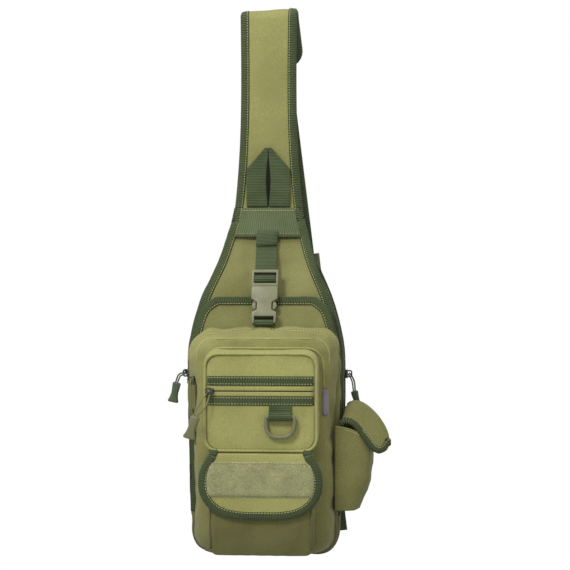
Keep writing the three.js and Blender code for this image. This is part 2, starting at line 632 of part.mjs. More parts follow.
// Each zip pull: where its slider sits, which way it faces, the cord's route and the grip's lean.
const PULLS = [
  {
    name: 'upper', facing: 'front', at: [-56, UPPER_POCKET.front - GAP, -437], colour: 'khaki',
    route: [[-56, -139, -432], [-56, -139, -437], [-57.5, -140.5, -442], [-61, -145.6, -449], [-67.5, -147.8, -457]],
    lean: 24,
  },
  {
    name: 'front', facing: 'left', at: [-78.2, -94, -428], colour: 'rubber',
    route: [[-83, -91.4, -428], [-83, -94, -428], [-83.4, -97, -430], [-84.2, -100, -437], [-84.2, -100.6, -447]],
    lean: 3,
  },
  {
    name: 'mid', facing: 'left', at: [-86.9, -68, -421], colour: 'rubber',
    route: [[-91.6, -65.4, -421], [-91.6, -68, -421], [-92.6, -71.4, -421.2], [-98, -72.4, -423.6], [-101, -72, -430.4]],
    lean: 12,
  },
  {
    name: 'main', facing: 'right', at: [91.3, -24, -424], colour: 'rubber',
    route: [[96, -26.6, -424], [96, -24, -424], [96.6, -20.8, -425.4], [98.4, -20, -434], [99.6, -20, -442]],
    lean: -12,
  },
];

function gripSolid() {
  const { length, half, waist, thick } = GRIP;
  const shape = new THREE.Shape();
  shape.moveTo(-half, 0);
  shape.lineTo(half, 0);
  shape.quadraticCurveTo(2 * waist - half, -length / 2, half, -length);
  shape.lineTo(-half, -length);
  shape.quadraticCurveTo(half - 2 * waist, -length / 2, -half, 0);
  return slab(shape, thick / 2, -thick / 2, 6);
}

function makePull({ name, facing, at, colour, route, lean }) {
  const slider = place(`${name}_slider`, sliderSolid(), 'metal_dark');
  slider.applyMatrix4(ACROSS[facing]);
  slider.position.set(...at);

  const points = route.map(([x, y, z]) => new THREE.Vector3(x, y, z));
  const section = new THREE.Shape();
  section.absarc(0, 0, CORD.radius, 0, Math.PI * 2);
  const tube = new THREE.ExtrudeGeometry(section, {
    extrudePath: new THREE.CatmullRomCurve3(points), steps: 10, curveSegments: CORD.sides / 2, bevelEnabled: false,
  });
  place(`${name}_pull_cord`, solid(tube), 'green');

  const end = points[points.length - 1];
  const grip = place(`${name}_pull_grip`, gripSolid(), colour);
  grip.position.set(end.x, end.y, end.z - 1.4);
  grip.rotation.y = THREE.MathUtils.degToRad(lean);
}

function makeMainZip() {
  const tape = slab(bodyOutline(-GAP - 0.7), -19, -29).subtract(slab(bodyOutline(-GAP), 0, -60));
  const run = box([-100, -60, -575], [100, 0, -300]);
  const oneSide = box([0, -60, -700], [200, 0, 0]);
  place('main_zip', tape.intersect(run).intersect(oneSide), 'green');
}

makeMainBody();
makeBodyBindings();
makeMidCompartment();
makeStrap();
makeCrossBand();
makeGrabLoop();
makeFrontPocket();
makeUpperPocket();
makeDRing();
makeLowerPocket();
makeLowerFlap();
makeSidePouch();
makeSideFlap();
makeBuckle();
makeRearStrap();
makeMainZip();
PULLS.forEach(makePull);

export default bag;
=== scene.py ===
"""Sling bag: the looks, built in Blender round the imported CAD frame.

Lengths are in millimetres until a mesh is made."""

import math

import bmesh
import bpy
import numpy as np
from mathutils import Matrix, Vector, noise
from mathutils.bvhtree import BVHTree


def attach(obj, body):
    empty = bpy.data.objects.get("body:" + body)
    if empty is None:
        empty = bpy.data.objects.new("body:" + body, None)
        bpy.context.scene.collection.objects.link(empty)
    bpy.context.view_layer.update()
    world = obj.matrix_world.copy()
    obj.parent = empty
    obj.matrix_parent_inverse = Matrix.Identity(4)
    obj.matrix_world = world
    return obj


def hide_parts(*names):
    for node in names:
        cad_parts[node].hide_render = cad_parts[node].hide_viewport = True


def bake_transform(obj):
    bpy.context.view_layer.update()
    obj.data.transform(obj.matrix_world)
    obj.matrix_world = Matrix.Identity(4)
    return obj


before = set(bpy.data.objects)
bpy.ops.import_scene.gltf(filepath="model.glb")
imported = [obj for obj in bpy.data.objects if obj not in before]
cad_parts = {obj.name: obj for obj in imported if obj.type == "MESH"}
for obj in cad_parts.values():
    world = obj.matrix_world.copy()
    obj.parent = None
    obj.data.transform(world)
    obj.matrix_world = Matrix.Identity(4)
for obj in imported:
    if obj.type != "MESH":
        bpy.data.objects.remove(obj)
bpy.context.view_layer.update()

# ------------------------------------------------------------------ driving values
MM = 0.001
BINDING = 9.0  # how far a binding reaches in from an edge
STITCH = {"length": 2.1, "pitch": 3.2, "width": 0.62}
STEP = 6.0  # grid spacing of the cloth panels before subdivision
BAND_SCALE = 2 * math.pi / 20  # a wave texture has 20 bands in 2 pi metres at scale 1
TWILL = math.radians(58)
TWILL_PITCH = 1.7  # the twill's diagonal lines are this many yarns apart
SHADE_FOOT, SHADE_REACH = 0.635, 0.12  # metres: painted shade darkens the cloth over this reach above the bag's foot
WHITE = (1, 1, 1, 1)
LEAN = math.radians(7)  # the rear webbing's slant
BUCKLE_LEAN = math.radians(22)
FRONT, BACK, UP = Vector((0, -1, 0)), Vector((0, 1, 0)), Vector((0, 0, 1))
RIGHT = Vector((1, 0, 0))


# ------------------------------------------------------------------ reading the frame, in millimetres
def surface_tree(*pieces):
    """A search tree over the surfaces of some pieces."""
    points, faces = [], []
    for piece in pieces:
        start = len(points)
        points += [v.co / MM for v in piece.data.vertices]
        faces += [tuple(start + v for v in p.vertices) for p in piece.data.polygons]
    return BVHTree.FromPolygons(points, faces)


def hit(tree, origin, direction, fallback=None):
    place = tree.ray_cast(Vector(origin), Vector(direction))[0]
    return place if place is not None else fallback


def half_at(tree, y, z):
    place = hit(tree, (400, y, z), -RIGHT)
    return place.x if place else 0.0


def front_at(tree, x, z, fallback=None):
    place = hit(tree, (x, -400, z), BACK)
    return place.y if place else fallback


# ------------------------------------------------------------------ materials
def new_material(name, roughness, specular=0.3):
    material = bpy.data.materials.new(name)
    material.use_nodes = True
    shader = material.node_tree.nodes["Principled BSDF"]
    shader.inputs["Roughness"].default_value = roughness
    shader.inputs["Specular IOR Level"].default_value = specular
    return material, material.node_tree, shader


def rgb(hex_code):
    channels = [int(hex_code[i:i + 2], 16) / 255 for i in (1, 3, 5)]
    return (*(c / 12.92 if c <= 0.04045 else ((c + 0.055) / 1.055) ** 2.4 for c in channels), 1.0)


def scaled_noise(tree, source, scale, detail=3.0, stretch=(1, 1, 1)):
    mapping = tree.nodes.new("ShaderNodeMapping")
    mapping.inputs["Scale"].default_value = stretch
    tree.links.new(source, mapping.inputs["Vector"])
    texture = tree.nodes.new("ShaderNodeTexNoise")
    texture.inputs["Scale"].default_value = scale
    texture.inputs["Detail"].default_value = detail
    tree.links.new(mapping.outputs["Vector"], texture.inputs["Vector"])
    return texture.outputs["Fac"]


def ramp(tree, factor, stops):
    node = tree.nodes.new("ShaderNodeValToRGB")
    for at, (place, colour) in enumerate(stops):
        element = node.color_ramp.elements[at] if at < 2 else node.color_ramp.elements.new(place)
        element.position = place
        element.color = colour
    tree.links.new(factor, node.inputs["Fac"])
    return node.outputs["Color"]


def bands(tree, source, scale, direction):
    texture = tree.nodes.new("ShaderNodeTexWave")
    texture.bands_direction = direction
    texture.wave_profile = "SIN"
    texture.inputs["Scale"].default_value = scale
    tree.links.new(source, texture.inputs["Vector"])
    return texture.outputs["Fac"]


def combine(tree, operation, first, second):
    node = tree.nodes.new("ShaderNodeMath")
    node.operation = operation
    for socket, value in zip(node.inputs, (first, second)):
        if isinstance(value, (int, float)):
            socket.default_value = value
        else:
            tree.links.new(value, socket)
    return node.outputs[0]


def darken(tree, colour, factor, strength, low, high):
    """Multiplies a colour by a ramp of greys between two stops, low and high, each a (place, grey)."""
    node = tree.nodes.new("ShaderNodeMix")
    node.data_type = "RGBA"
    node.blend_type = "MULTIPLY"
    sockets = {socket.name: socket for socket in node.inputs if socket.enabled}
    sockets["Factor"].default_value = strength
    tree.links.new(colour, sockets["A"])
    tree.links.new(ramp(tree, factor, [low, high]), sockets["B"])
    return next(socket for socket in node.outputs if socket.enabled)


def add_bump(tree, shader, height, strength, distance, normal=None):
    node = tree.nodes.new("ShaderNodeBump")
    node.inputs["Strength"].default_value = strength
    node.inputs["Distance"].default_value = distance
    tree.links.new(height, node.inputs["Height"])
    if normal is not None:
        tree.links.new(normal, node.inputs["Normal"])
    tree.links.new(node.outputs["Normal"], shader.inputs["Normal"])
    return node.outputs["Normal"]


def coordinates(tree, kind):
    return tree.nodes.new("ShaderNodeTexCoord").outputs[kind]


def woven_cloth(name, light, dark, weave_pitch=0.0011, foot=1.0):
    """A plain woven nylon: crossed yarns, mottled dye, faint creases and painted shade towards the bag's
    foot.
    foot is how dark the painted shade makes it at the bag's foot, as a share of its colour higher up."""
    material, tree, shader = new_material(name, roughness=0.85, specular=0.22)
    shader.inputs["Sheen Weight"].default_value = 0.1
    shader.inputs["Sheen Roughness"].default_value = 0.5
    solid, flat = coordinates(tree, "Object"), coordinates(tree, "UV")
    broad = scaled_noise(tree, solid, scale=14, detail=4)
    grain = scaled_noise(tree, solid, scale=900, detail=2)
    turned = tree.nodes.new("ShaderNodeMapping")
    turned.inputs["Rotation"].default_value = (0, 0, TWILL)
    tree.links.new(flat, turned.inputs["Vector"])
    twill = bands(tree, turned.outputs["Vector"], BAND_SCALE / (TWILL_PITCH * weave_pitch), "X")
    base = ramp(tree, broad, [(0.36, dark), (0.66, light)])
    speckled = darken(tree, base, grain, strength=0.5, low=(0.25, rgb("#a8a8a0")), high=(0.7, WHITE))
    streaked = darken(tree, speckled, twill, strength=0.45, low=(0.0, rgb("#a4a49a")), high=(0.6, WHITE))
    frequency = BAND_SCALE / weave_pitch
    warp, weft = bands(tree, flat, frequency, "X"), bands(tree, flat, frequency, "Y")
    yarns = combine(tree, "MULTIPLY", warp, weft)
    woven = darken(tree, streaked, yarns, strength=0.42, low=(0.0, rgb("#90908a")), high=(0.6, WHITE))
    # painted shade: the cloth darkens towards the bag's foot, where the light from above reaches less
    if foot < 1:
        place = tree.nodes.new("ShaderNodeSeparateXYZ")
        tree.links.new(solid, place.inputs["Vector"])
        rise = combine(tree, "ADD", place.outputs["Z"], SHADE_FOOT)
        risen = combine(tree, "MULTIPLY", rise, 1 / SHADE_REACH)
        woven = darken(tree, woven, risen, strength=1.0, low=(0.0, (foot, foot, foot, 1)), high=(1.0, WHITE))
    tree.links.new(woven, shader.inputs["Base Color"])
    crease = add_bump(tree, shader, scaled_noise(tree, solid, scale=30, detail=4), strength=0.5,
                      distance=0.004)
    fine = add_bump(tree, shader, grain, strength=0.25, distance=0.0005, normal=crease)
    add_bump(tree, shader, yarns, strength=0.35, distance=0.00035, normal=fine)
    return material


def ribbed_webbing(name, light, dark, pitch, depth=0.8):
    """Grosgrain and webbing: ribs across the strip, as strong as depth says, and a fine yarn."""
    material, tree, shader = new_material(name, roughness=0.8, specular=0.25)
    shader.inputs["Sheen Weight"].default_value = 0.08
    solid, flat = coordinates(tree, "Object"), coordinates(tree, "UV")
    frequency = BAND_SCALE / pitch
    ribs = bands(tree, flat, frequency, "Y")
    yarn = bands(tree, flat, frequency * 1.7, "X")
    broad = scaled_noise(tree, solid, scale=30, detail=3)
    base = ramp(tree, broad, [(0.3, dark), (0.7, light)])
    ribbed = darken(tree, base, ribs, strength=depth, low=(0.0, rgb("#6c6c66")), high=(0.6, WHITE))
    grain = scaled_noise(tree, solid, scale=1100, detail=2)
    speckled = darken(tree, ribbed, grain, strength=0.45, low=(0.25, rgb("#9a9a92")), high=(0.7, WHITE))
    tree.links.new(speckled, shader.inputs["Base Color"])
    coarse = add_bump(tree, shader, ribs, strength=0.8, distance=0.0007)
    add_bump(tree, shader, yarn, strength=0.3, distance=0.0003, normal=coarse)
    return material


def fuzzy_pile(name, light, dark):
    """The loop side of hook-and-loop tape: a dense tangle of fine loops."""
    material, tree, shader = new_material(name, roughness=0.95, specular=0.15)
    shader.inputs["Sheen Weight"].default_value = 0.5
    shader.inputs["Sheen Roughness"].default_value = 0.6
    solid = coordinates(tree, "Object")
    tangle = scaled_noise(tree, solid, scale=620, detail=5)
    patches = scaled_noise(tree, solid, scale=60, detail=4)
    base = ramp(tree, tangle, [(0.32, dark), (0.66, light)])
    wear_and_shade = darken(tree, base, patches, strength=0.4, low=(0.3, rgb("#a0a098")), high=(0.7, WHITE))
    tree.links.new(wear_and_shade, shader.inputs["Base Color"])
    coarse = add_bump(tree, shader, patches, strength=0.3, distance=0.0015)
    add_bump(tree, shader, tangle, strength=0.8, distance=0.0009, normal=coarse)
    return material


def moulded_plastic(name, light, dark, roughness=0.42, grain=0.18):
    material, tree, shader = new_material(name, roughness=roughness, specular=0.32)
    solid = coordinates(tree, "Object")
    base = ramp(tree, scaled_noise(tree, solid, scale=90, detail=3), [(0.3, dark), (0.7, light)])
    tree.links.new(base, shader.inputs["Base Color"])
    add_bump(tree, shader, scaled_noise(tree, solid, scale=1500, detail=2), strength=grain, distance=0.0002)
    return material


def painted_metal(name, colour, wear_and_shade):
    material, tree, shader = new_material(name, roughness=0.38, specular=0.5)
    shader.inputs["Metallic"].default_value = 0.75
    solid = coordinates(tree, "Object")
    base = ramp(tree, scaled_noise(tree, solid, scale=420, detail=4), [(0.45, colour), (0.75, wear_and_shade)])
    tree.links.new(base, shader.inputs["Base Color"])
    add_bump(tree, shader, scaled_noise(tree, solid, scale=900, detail=2), strength=0.15, distance=0.0002)
    return material


def twisted_cord(name, light, dark):
    material, tree, shader = new_material(name, roughness=0.75, specular=0.25)
    flat = coordinates(tree, "UV")
    turn = tree.nodes.new("ShaderNodeMapping")
    turn.inputs["Rotation"].default_value = (0, 0, math.radians(32))
    tree.links.new(flat, turn.inputs["Vector"])
    strands = bands(tree, turn.outputs["Vector"], 420, "X")
    tree.links.new(ramp(tree, strands, [(0.1, dark), (0.8, light)]), shader.inputs["Base Color"])
    add_bump(tree, shader, strands, strength=0.5, distance=0.0004)
    return material


MATERIAL = {
    "khaki": woven_cloth("khaki_cloth", rgb("#a4a365"), rgb("#96945a")),
    # The khaki cloth made lighter all over as painted light, for the upper pocket, the flap, the welts, seams
    # and zip lips.
    "bright": woven_cloth("khaki_lit_cloth", rgb("#bbba74"), rgb("#adab69")),
    # The main and middle bodies' cloth, also the lower pocket's welts: the khaki darkened all over as painted
    # shade, darkest at the bag's foot.
    "wear_and_shade": woven_cloth("khaki_body_shaded_cloth", rgb("#989760"), rgb("#868551"), foot=0.34),
    # The lower pocket's cloth: the khaki darkened as painted shade, darkest at the bag's foot.
    "low": woven_cloth("khaki_low_shaded_cloth", rgb("#9a995f"), rgb("#85834e"), foot=0.5),
    # The front pocket's cloth: the khaki a touch lighter as painted light, and darkened towards the bag's
    # foot as painted shade.
    "full": woven_cloth("khaki_pocket_lit_and_shaded_cloth", rgb("#a7a668"), rgb("#97955b"), foot=0.55),
    # The side pouch's and its cover's cloth: the khaki darkened as painted shade.
    "shade": woven_cloth("khaki_side_shaded_cloth", rgb("#919058"), rgb("#82814c")),
    "binding": ribbed_webbing("green_binding", rgb("#505d39"), rgb("#455230"), pitch=0.0021),
    "webbing": ribbed_webbing("green_webbing", rgb("#54633f"), rgb("#475534"), pitch=0.0019),
    "band": ribbed_webbing("light_webbing", rgb("#626d4a"), rgb("#566140"), pitch=0.0024, depth=0.45),
    "pile": fuzzy_pile("loop_pile", rgb("#999a6a"), rgb("#7c7c52")),
    "hooks": fuzzy_pile("hook_tape", rgb("#5d6848"), rgb("#3b4630")),
    "plastic": moulded_plastic("buckle_plastic", rgb("#707053"), rgb("#646449")),
    "dark_plastic": moulded_plastic("hardware_plastic", rgb("#6d6a50"), rgb("#5f5c45")),
    "metal": painted_metal("slider_metal", rgb("#3a3f33"), rgb("#8d8d80")),
    "cord": twisted_cord("pull_cord", rgb("#5d6a47"), rgb("#3a452d")),
    "khaki_cord": twisted_cord("khaki_pull_cord", rgb("#84835a"), rgb("#5e5f3d")),
    "rubber": moulded_plastic("grip_rubber", rgb("#4e5c40"), rgb("#3f4c33"), roughness=0.6, grain=0.3),
    "khaki_rubber": moulded_plastic("grip_khaki", rgb("#70704e"), rgb("#636344"), roughness=0.6, grain=0.3),
    "thread": moulded_plastic("stitch_thread", rgb("#c3bf8a"), rgb("#aaa674"), roughness=0.7, grain=0.1),
    "dark_thread": moulded_plastic("dark_thread", rgb("#77784f"), rgb("#66673f"), roughness=0.7, grain=0.1),
    "label": ribbed_webbing("label_cloth", rgb("#b7aeb8"), rgb("#9e97a0"), pitch=0.0012),
    "coil": moulded_plastic("zip_coil", rgb("#4d4e33"), rgb("#3d3e28"), roughness=0.5, grain=0.1),
    # A near-black for painted shadow in gaps: the zip's opening and the grab loop's slit.
    "slit": moulded_plastic("gap_shadow_black", rgb("#0f100b"), rgb("#0a0b07"), roughness=0.95, grain=0.0),
    "mesh": woven_cloth("back_mesh", rgb("#6f6e46"), rgb("#5b5a38"), weave_pitch=0.0026),
}


# ------------------------------------------------------------------ mesh helpers
def make_object(name, points, faces, material, corners=None):
    """corners holds, for each face, the UV in millimetres of each of its corners."""
    mesh = bpy.data.meshes.new(name)
    mesh.from_pydata([tuple(c * MM for c in p) for p in points], [], faces)
    if corners:
        layer = mesh.uv_layers.new(name="UVMap")
        flat = [c * MM for face in corners for uv in face for c in uv]
        layer.data.foreach_set("uv", flat)
    mesh.materials.append(MATERIAL[material])
    mesh.polygons.foreach_set("use_smooth", [True] * len(mesh.polygons))
    work = bmesh.new()
    work.from_mesh(mesh)
    bmesh.ops.recalc_face_normals(work, faces=work.faces)
    work.to_mesh(mesh)
    work.free()
    made = bpy.data.objects.new(name, mesh)
    bpy.context.scene.collection.objects.link(made)
    return made


def apply_modifiers(piece):
    bpy.context.view_layer.update()
    graph = bpy.context.evaluated_depsgraph_get()
    mesh = bpy.data.meshes.new_from_object(piece.evaluated_get(graph))
    piece.modifiers.clear()
    piece.data = mesh
    return piece


def subdivide(piece):
    modifier = piece.modifiers.new("Smooth", "SUBSURF")
    modifier.levels = modifier.render_levels = 1
    return apply_modifiers(piece)


def bevel(piece, width, segments=2):
    modifier = piece.modifiers.new("Bevel", "BEVEL")
    modifier.width = width * MM
    modifier.segments = segments
    modifier.limit_method = "ANGLE"
    modifier.angle_limit = math.radians(25)
    modifier.harden_normals = True
    return apply_modifiers(piece)


def settle(piece, body, slot, *nodes):
    """Fixes a finished piece to its body and hides the CAD nodes that it stands for; slot, its finish, is not
    used.
    """
    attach(piece, body)
    if nodes:
        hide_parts(*nodes)
    return piece


def clamped(value, low=0.0, high=1.0):
    return min(high, max(low, value))


def heading(line, index):
    """The direction of a line of points at one of them."""
    return (line[min(index + 1, len(line) - 1)] - line[max(index - 1, 0)]).normalized()


def lengths(line):
    total = [0.0]
    for a, b in zip(line, line[1:]):
        total.append(total[-1] + (Vector(b) - Vector(a)).length)
    return total


def resample(line, step):
    """The same line with points evenly spaced about step apart."""
    points = [Vector(p) for p in line]
    total = lengths(points)
    count = max(2, round(total[-1] / step) + 1)
    result, at = [], 0
    for index in range(count):
        goal = total[-1] * index / (count - 1)
        while at < len(points) - 2 and total[at + 1] < goal:
            at += 1
        share = (goal - total[at]) / max(total[at + 1] - total[at], 1e-9)
        result.append(points[at].lerp(points[at + 1], clamped(share)))
    return result


def smooth_line(controls, step):
    """A Catmull-Rom line through given points."""
    points = [Vector(p) for p in controls]
    ends = [points[0] * 2 - points[1], *points, points[-1] * 2 - points[-2]]
    line = []
    for a, b, c, d in zip(ends, ends[1:], ends[2:], ends[3:]):
        for part in range(8):
            t = part / 8
            line.append(0.5 * (2 * b + (c - a) * t + (2 * a - 5 * b + 4 * c - d) * t * t
                               + (3 * b - 3 * c + d - a) * t ** 3))
    return resample([*line, points[-1]], step)


def grid_solid(name, outer, inner, material):
    """A thin closed piece between two grids of points; rows run along it, columns across."""
    rows, columns = len(outer), len(outer[0])
    points = [p for row in outer for p in row] + [p for row in inner for p in row]
    layer = rows * columns
    along = lengths([row[columns // 2] for row in outer])
    side = lengths(outer[rows // 2])
    faces, corners = [], []
    for i in range(rows - 1):
        n = i + 1
        for j in range(columns - 1):
            quad = [i * columns + j, i * columns + j + 1, n * columns + j + 1, n * columns + j]
            uv = [(side[j], along[i]), (side[j + 1], along[i]), (side[j + 1], along[n]), (side[j], along[n])]
            faces += [quad, [layer + q for q in reversed(quad)]]
            corners += [uv, uv[::-1]]
        for j in (0, columns - 1):
            quad = [i * columns + j, n * columns + j, layer + n * columns + j, layer + i * columns + j]
            faces.append(quad)
            corners.append([(side[j], along[i]), (side[j], along[n])] * 2)
    for i in (0, rows - 1):
        for j in range(columns - 1):
            a, b = i * columns + j, i * columns + j + 1
            faces.append([a, b, layer + b, layer + a])
            corners.append([(side[j], along[i]), (side[j + 1], along[i])] * 2)
    return make_object(name, points, faces, material, corners)


def layered(name, rows, parts, faces, material):
    """A grid_solid whose two faces' points, outer and inner, are faces(row, part)."""
    pairs = [[faces(row, part) for part in parts] for row in rows]
    outer, inner = ([[pair[side] for pair in line] for line in pairs] for side in (0, 1))
    return grid_solid(name, outer, inner, material)


TUBE_GIRTH = 7.44  # the cloth pattern's run round any tube


def tube(name, line, radius, material, closed=False, sides=10):
    """A round tube along a line, with flat ends."""
    points, faces, corners = [], [], []
    total = lengths([*line, line[0]] if closed else line)
    reference = None
    count = len(line)
    for index, place in enumerate(line):
        after = line[(index + 1) % count] if closed or index + 1 < count else place
        before = line[index - 1] if closed or index else place
        along = (Vector(after) - Vector(before)).normalized()
        if reference is None:
            reference = along.orthogonal()
        reference = (reference - along * reference.dot(along)).normalized()
        other = along.cross(reference)
        width = radius(total[index] / total[-1]) if callable(radius) else radius
        for side in range(sides):
            angle = 2 * math.pi * side / sides
            points.append(Vector(place) + (reference * math.cos(angle) + other * math.sin(angle)) * width)
    for i in range(count if closed else count - 1):
        n = (i + 1) % count
        for side in range(sides):
            turn = (side + 1) % sides
            faces.append([i * sides + side, i * sides + turn, n * sides + turn, n * sides + side])
            u0, u1 = side * TUBE_GIRTH / sides, (side + 1) * TUBE_GIRTH / sides
            corners.append([(u0, total[i]), (u1, total[i]), (u1, total[i + 1]), (u0, total[i + 1])])
    if not closed:
        for start in (0, (count - 1) * sides):
            faces.append(list(range(start, start + sides)))
            corners.append([(0, 0)] * sides)
    return make_object(name, points, faces, material, corners)


# ------------------------------------------------------------------ stitches
threads = {}


def stitch_line(line, normals, group="bag", material="thread", lift=0.15):
    """Lays short threads along a line on a surface; they are joined into one piece per body."""
    points = resample(line, STITCH["pitch"])
    total, far = lengths(line), lengths(points)
    store = threads.setdefault((group, material), ([], []))
    for index in range(len(points) - 1):
        share = far[index] / max(far[-1], 1e-9) * total[-1]
        nearest = min(range(len(total)), key=lambda i: abs(total[i] - share))
        normal = Vector(normals[nearest]).normalized()
        along = (points[index + 1] - points[index]).normalized()
        across = along.cross(normal).normalized()
        start, half = points[index], STITCH["width"] / 2
        base = len(store[0])
        for part, rise, wide in ((0, -0.25, 0.7), (0.3, 0.3, 1), (0.7, 0.3, 1), (1, -0.25, 0.7)):
            centre = start + along * (part * STITCH["length"]) + normal * (rise + lift)
            for x, y in ((-1, 0), (-0.5, 0.8), (0.5, 0.8), (1, 0), (0, -0.8)):
                store[0].append(centre + across * (x * half * wide) + normal * (y * half * wide))
        for ring in range(3):
            for side in range(5):
                turn = (side + 1) % 5
                a, b = base + ring * 5, base + ring * 5 + 5
                store[1].append([a + side, a + turn, b + turn, b + side])
        store[1].extend([[base + k for k in range(5)], [base + 15 + k for k in range(4, -1, -1)]])


def finish_stitches():
    for (group, material), (points, faces) in threads.items():
        made = make_object(f"{group}_{material}_stitching", points, faces, material)
        settle(made, group, "khaki_cloth")


# ------------------------------------------------------------------ cloth shells
def edge_rows(top, bottom, top_corner, bottom_corner, step=STEP):
    """Row heights from top to bottom, closer together round the corners."""
    turn = [math.sin(math.radians(a)) for a in (4, 24, 46, 70)]
    rows = [top - top_corner * (1 - math.sqrt(1 - s * s)) for s in turn]
    first, last = top - top_corner, bottom + bottom_corner
    count = max(2, round((first - last) / step))
    rows += [first + (last - first) * k / count for k in range(count + 1)]
    rows += [bottom + bottom_corner * (1 - math.sqrt(1 - s * s)) for s in reversed(turn)]
    return rows


def shell(name, rows, half, front, rear, walls, material, columns=24, rear_map=None):
    """A cloth box: a gridded front face, side walls in rings, and a rear face.
    half(z) is its half-width, front(x, z) and rear(x, z) its faces' y. Its seams are kept as "pinned"."""
    points, faces, corners, grid = [], [], [], {}
    for i, z in enumerate(rows):
        for j in range(columns + 1):
            x = half(z) * (2 * j / columns - 1)
            grid[i, j] = len(points)
            points.append(Vector((x, front(x, z), z)))
    last = len(rows) - 1
    loop = [(0, j) for j in range(columns + 1)] + [(i, columns) for i in range(1, last + 1)]
    loop += [(last, j) for j in range(columns - 1, -1, -1)] + [(i, 0) for i in range(last - 1, 0, -1)]
    ring = [grid[key] for key in loop]

    def add(face, uvs):
        faces.append(face)
        corners.append(uvs)

    def grid_faces(index):
        for i in range(last):
            for j in range(columns):
                face = [index[i, j], index[i, j + 1], index[i + 1, j + 1], index[i + 1, j]]
                add(face, [(points[v].x, points[v].z) for v in face])

    def rear_point(v):
        x, z = points[v].x, points[v].z
        end = rear_map(x, z) if rear_map else (x, z)
        return Vector((end[0], rear(*end), end[1]))

    grid_faces(grid)
    around = lengths([points[v] for v in ring] + [points[ring[0]]])
    depth = 0.0
    rings = [ring]
    for wall in range(1, walls + 1):
        fresh = []
        for v in ring:
            fresh.append(len(points))
            points.append(points[v].lerp(rear_point(v), wall / walls))
        step = (points[fresh[0]] - points[rings[-1][0]]).length
        for k in range(len(ring)):
            n = (k + 1) % len(ring)
            face = [rings[-1][k], rings[-1][n], fresh[n], fresh[k]]
            u0, u1 = around[k], around[k + 1]
            add(face, [(depth, u0), (depth, u1), (depth + step, u1), (depth + step, u0)])
        depth += step
        rings.append(fresh)
    pinned = set(rings[0]) | set(rings[-1])
    rear_grid = dict(zip(loop, rings[-1]))
    for key, v in grid.items():
        if key not in rear_grid:
            rear_grid[key] = len(points)
            pinned.add(len(points))
            points.append(rear_point(v))
    grid_faces(rear_grid)
    made = make_object(name, points, faces, material, corners)
    made["pinned"] = sorted(pinned)
    return made


CLOTH = {"gravity": 0.15, "frames": 20, "stretch": 12, "shear": 4, "bend": 0.4, "mass": 0.25, "quality": 5}


def inflate(piece, pressure, slack, cap):
    """Cloth simulation with the seams held: the panels fill out and crease, by cap millimetres at most."""
    pinned = list(piece["pinned"])
    del piece["pinned"]
    before = np.array([v.co for v in piece.data.vertices])
    group = piece.vertex_groups.new(name="seams")
    group.add(pinned, 1.0, "REPLACE")
    cloth = piece.modifiers.new("Cloth", "CLOTH")
    settings = cloth.settings
    settings.quality = CLOTH["quality"]
    settings.mass = CLOTH["mass"]
    settings.tension_stiffness = settings.compression_stiffness = CLOTH["stretch"]
    settings.shear_stiffness = CLOTH["shear"]
    settings.bending_stiffness = CLOTH["bend"]
    settings.use_pressure = True
    settings.uniform_pressure_force = pressure
    settings.shrink_min = -slack
    settings.vertex_group_mass = "seams"
    settings.effector_weights.gravity = CLOTH["gravity"]
    cloth.collision_settings.use_collision = False
    cloth.point_cache.frame_start, cloth.point_cache.frame_end = 1, CLOTH["frames"]
    for number in range(1, CLOTH["frames"] + 1):
        bpy.context.scene.frame_set(number)
    apply_modifiers(piece)
    bpy.context.scene.frame_set(1)
    after = np.array([v.co for v in piece.data.vertices])
    moved = after - before
    far = np.linalg.norm(moved, axis=1)
    limit = cap * MM
    share = np.where(far > 1e-9, limit * np.tanh(far / limit) / np.maximum(far, 1e-9), 1)
    piece.data.vertices.foreach_set("co", (before + moved * share[:, None]).ravel())
    piece.vertex_groups.clear()


def crease(piece, height, size, stretch=(1, 1, 1), seed=0.0, keep=None):
    """Soft, uneven folds: moves each point along its normal by smooth noise."""
    for vertex in piece.data.vertices:
        place = vertex.co / MM
        share = keep(place) if keep else 1.0
        sample = Vector((place.x * stretch[0], place.y * stretch[1], place.z * stretch[2])) / size
        wave = noise.fractal(sample + Vector((seed, seed, seed)), 0.9, 2.1, 3)
        vertex.co += vertex.normal * (wave * height * share * MM)


def on_front(tree, x, z, lift, fallback):
    return Vector((x, front_at(tree, x, z, fallback) - lift, z))


def draped_strip(name, tree, line, width, thick, material, columns=6, step=5.0, fallback=-100.0):
    """A strip laid on a front face: line holds its centre as (x, z), and it follows the cloth below."""
    centres = resample([(x, 0, z) for x, z in line], step)

    def faces(index, part):
        along = heading(centres, index)
        spot = centres[index] + Vector((-along.z, 0, along.x)) * (part * width / 2)
        base = front_at(tree, spot.x, spot.z, fallback)
        edge = 0.1 if abs(part) == 1 or index in (0, len(centres) - 1) else thick
        return Vector((spot.x, base - edge, spot.z)), Vector((spot.x, base + 0.6, spot.z))

    parts = (-1, -0.97, *(2 * k / columns - 1 for k in range(1, columns)), 0.97, 1)
    return layered(name, range(len(centres)), parts, faces, material)


# ------------------------------------------------------------------ pieces made straight from the frame
def box_mapped(piece):
    """UVs in metres, projected along whichever axis each face looks down most."""
    mesh = piece.data
    layer = mesh.uv_layers.active or mesh.uv_layers.new(name="UVMap")
    for polygon in mesh.polygons:
        sizes = [abs(c) for c in polygon.normal]
        axis = sizes.index(max(sizes))
        first, second = ((1, 2), (0, 2), (0, 1))[axis]
        for corner in polygon.loop_indices:
            place = mesh.vertices[mesh.loops[corner].vertex_index].co
            layer.data[corner].uv = (place[first], place[second])


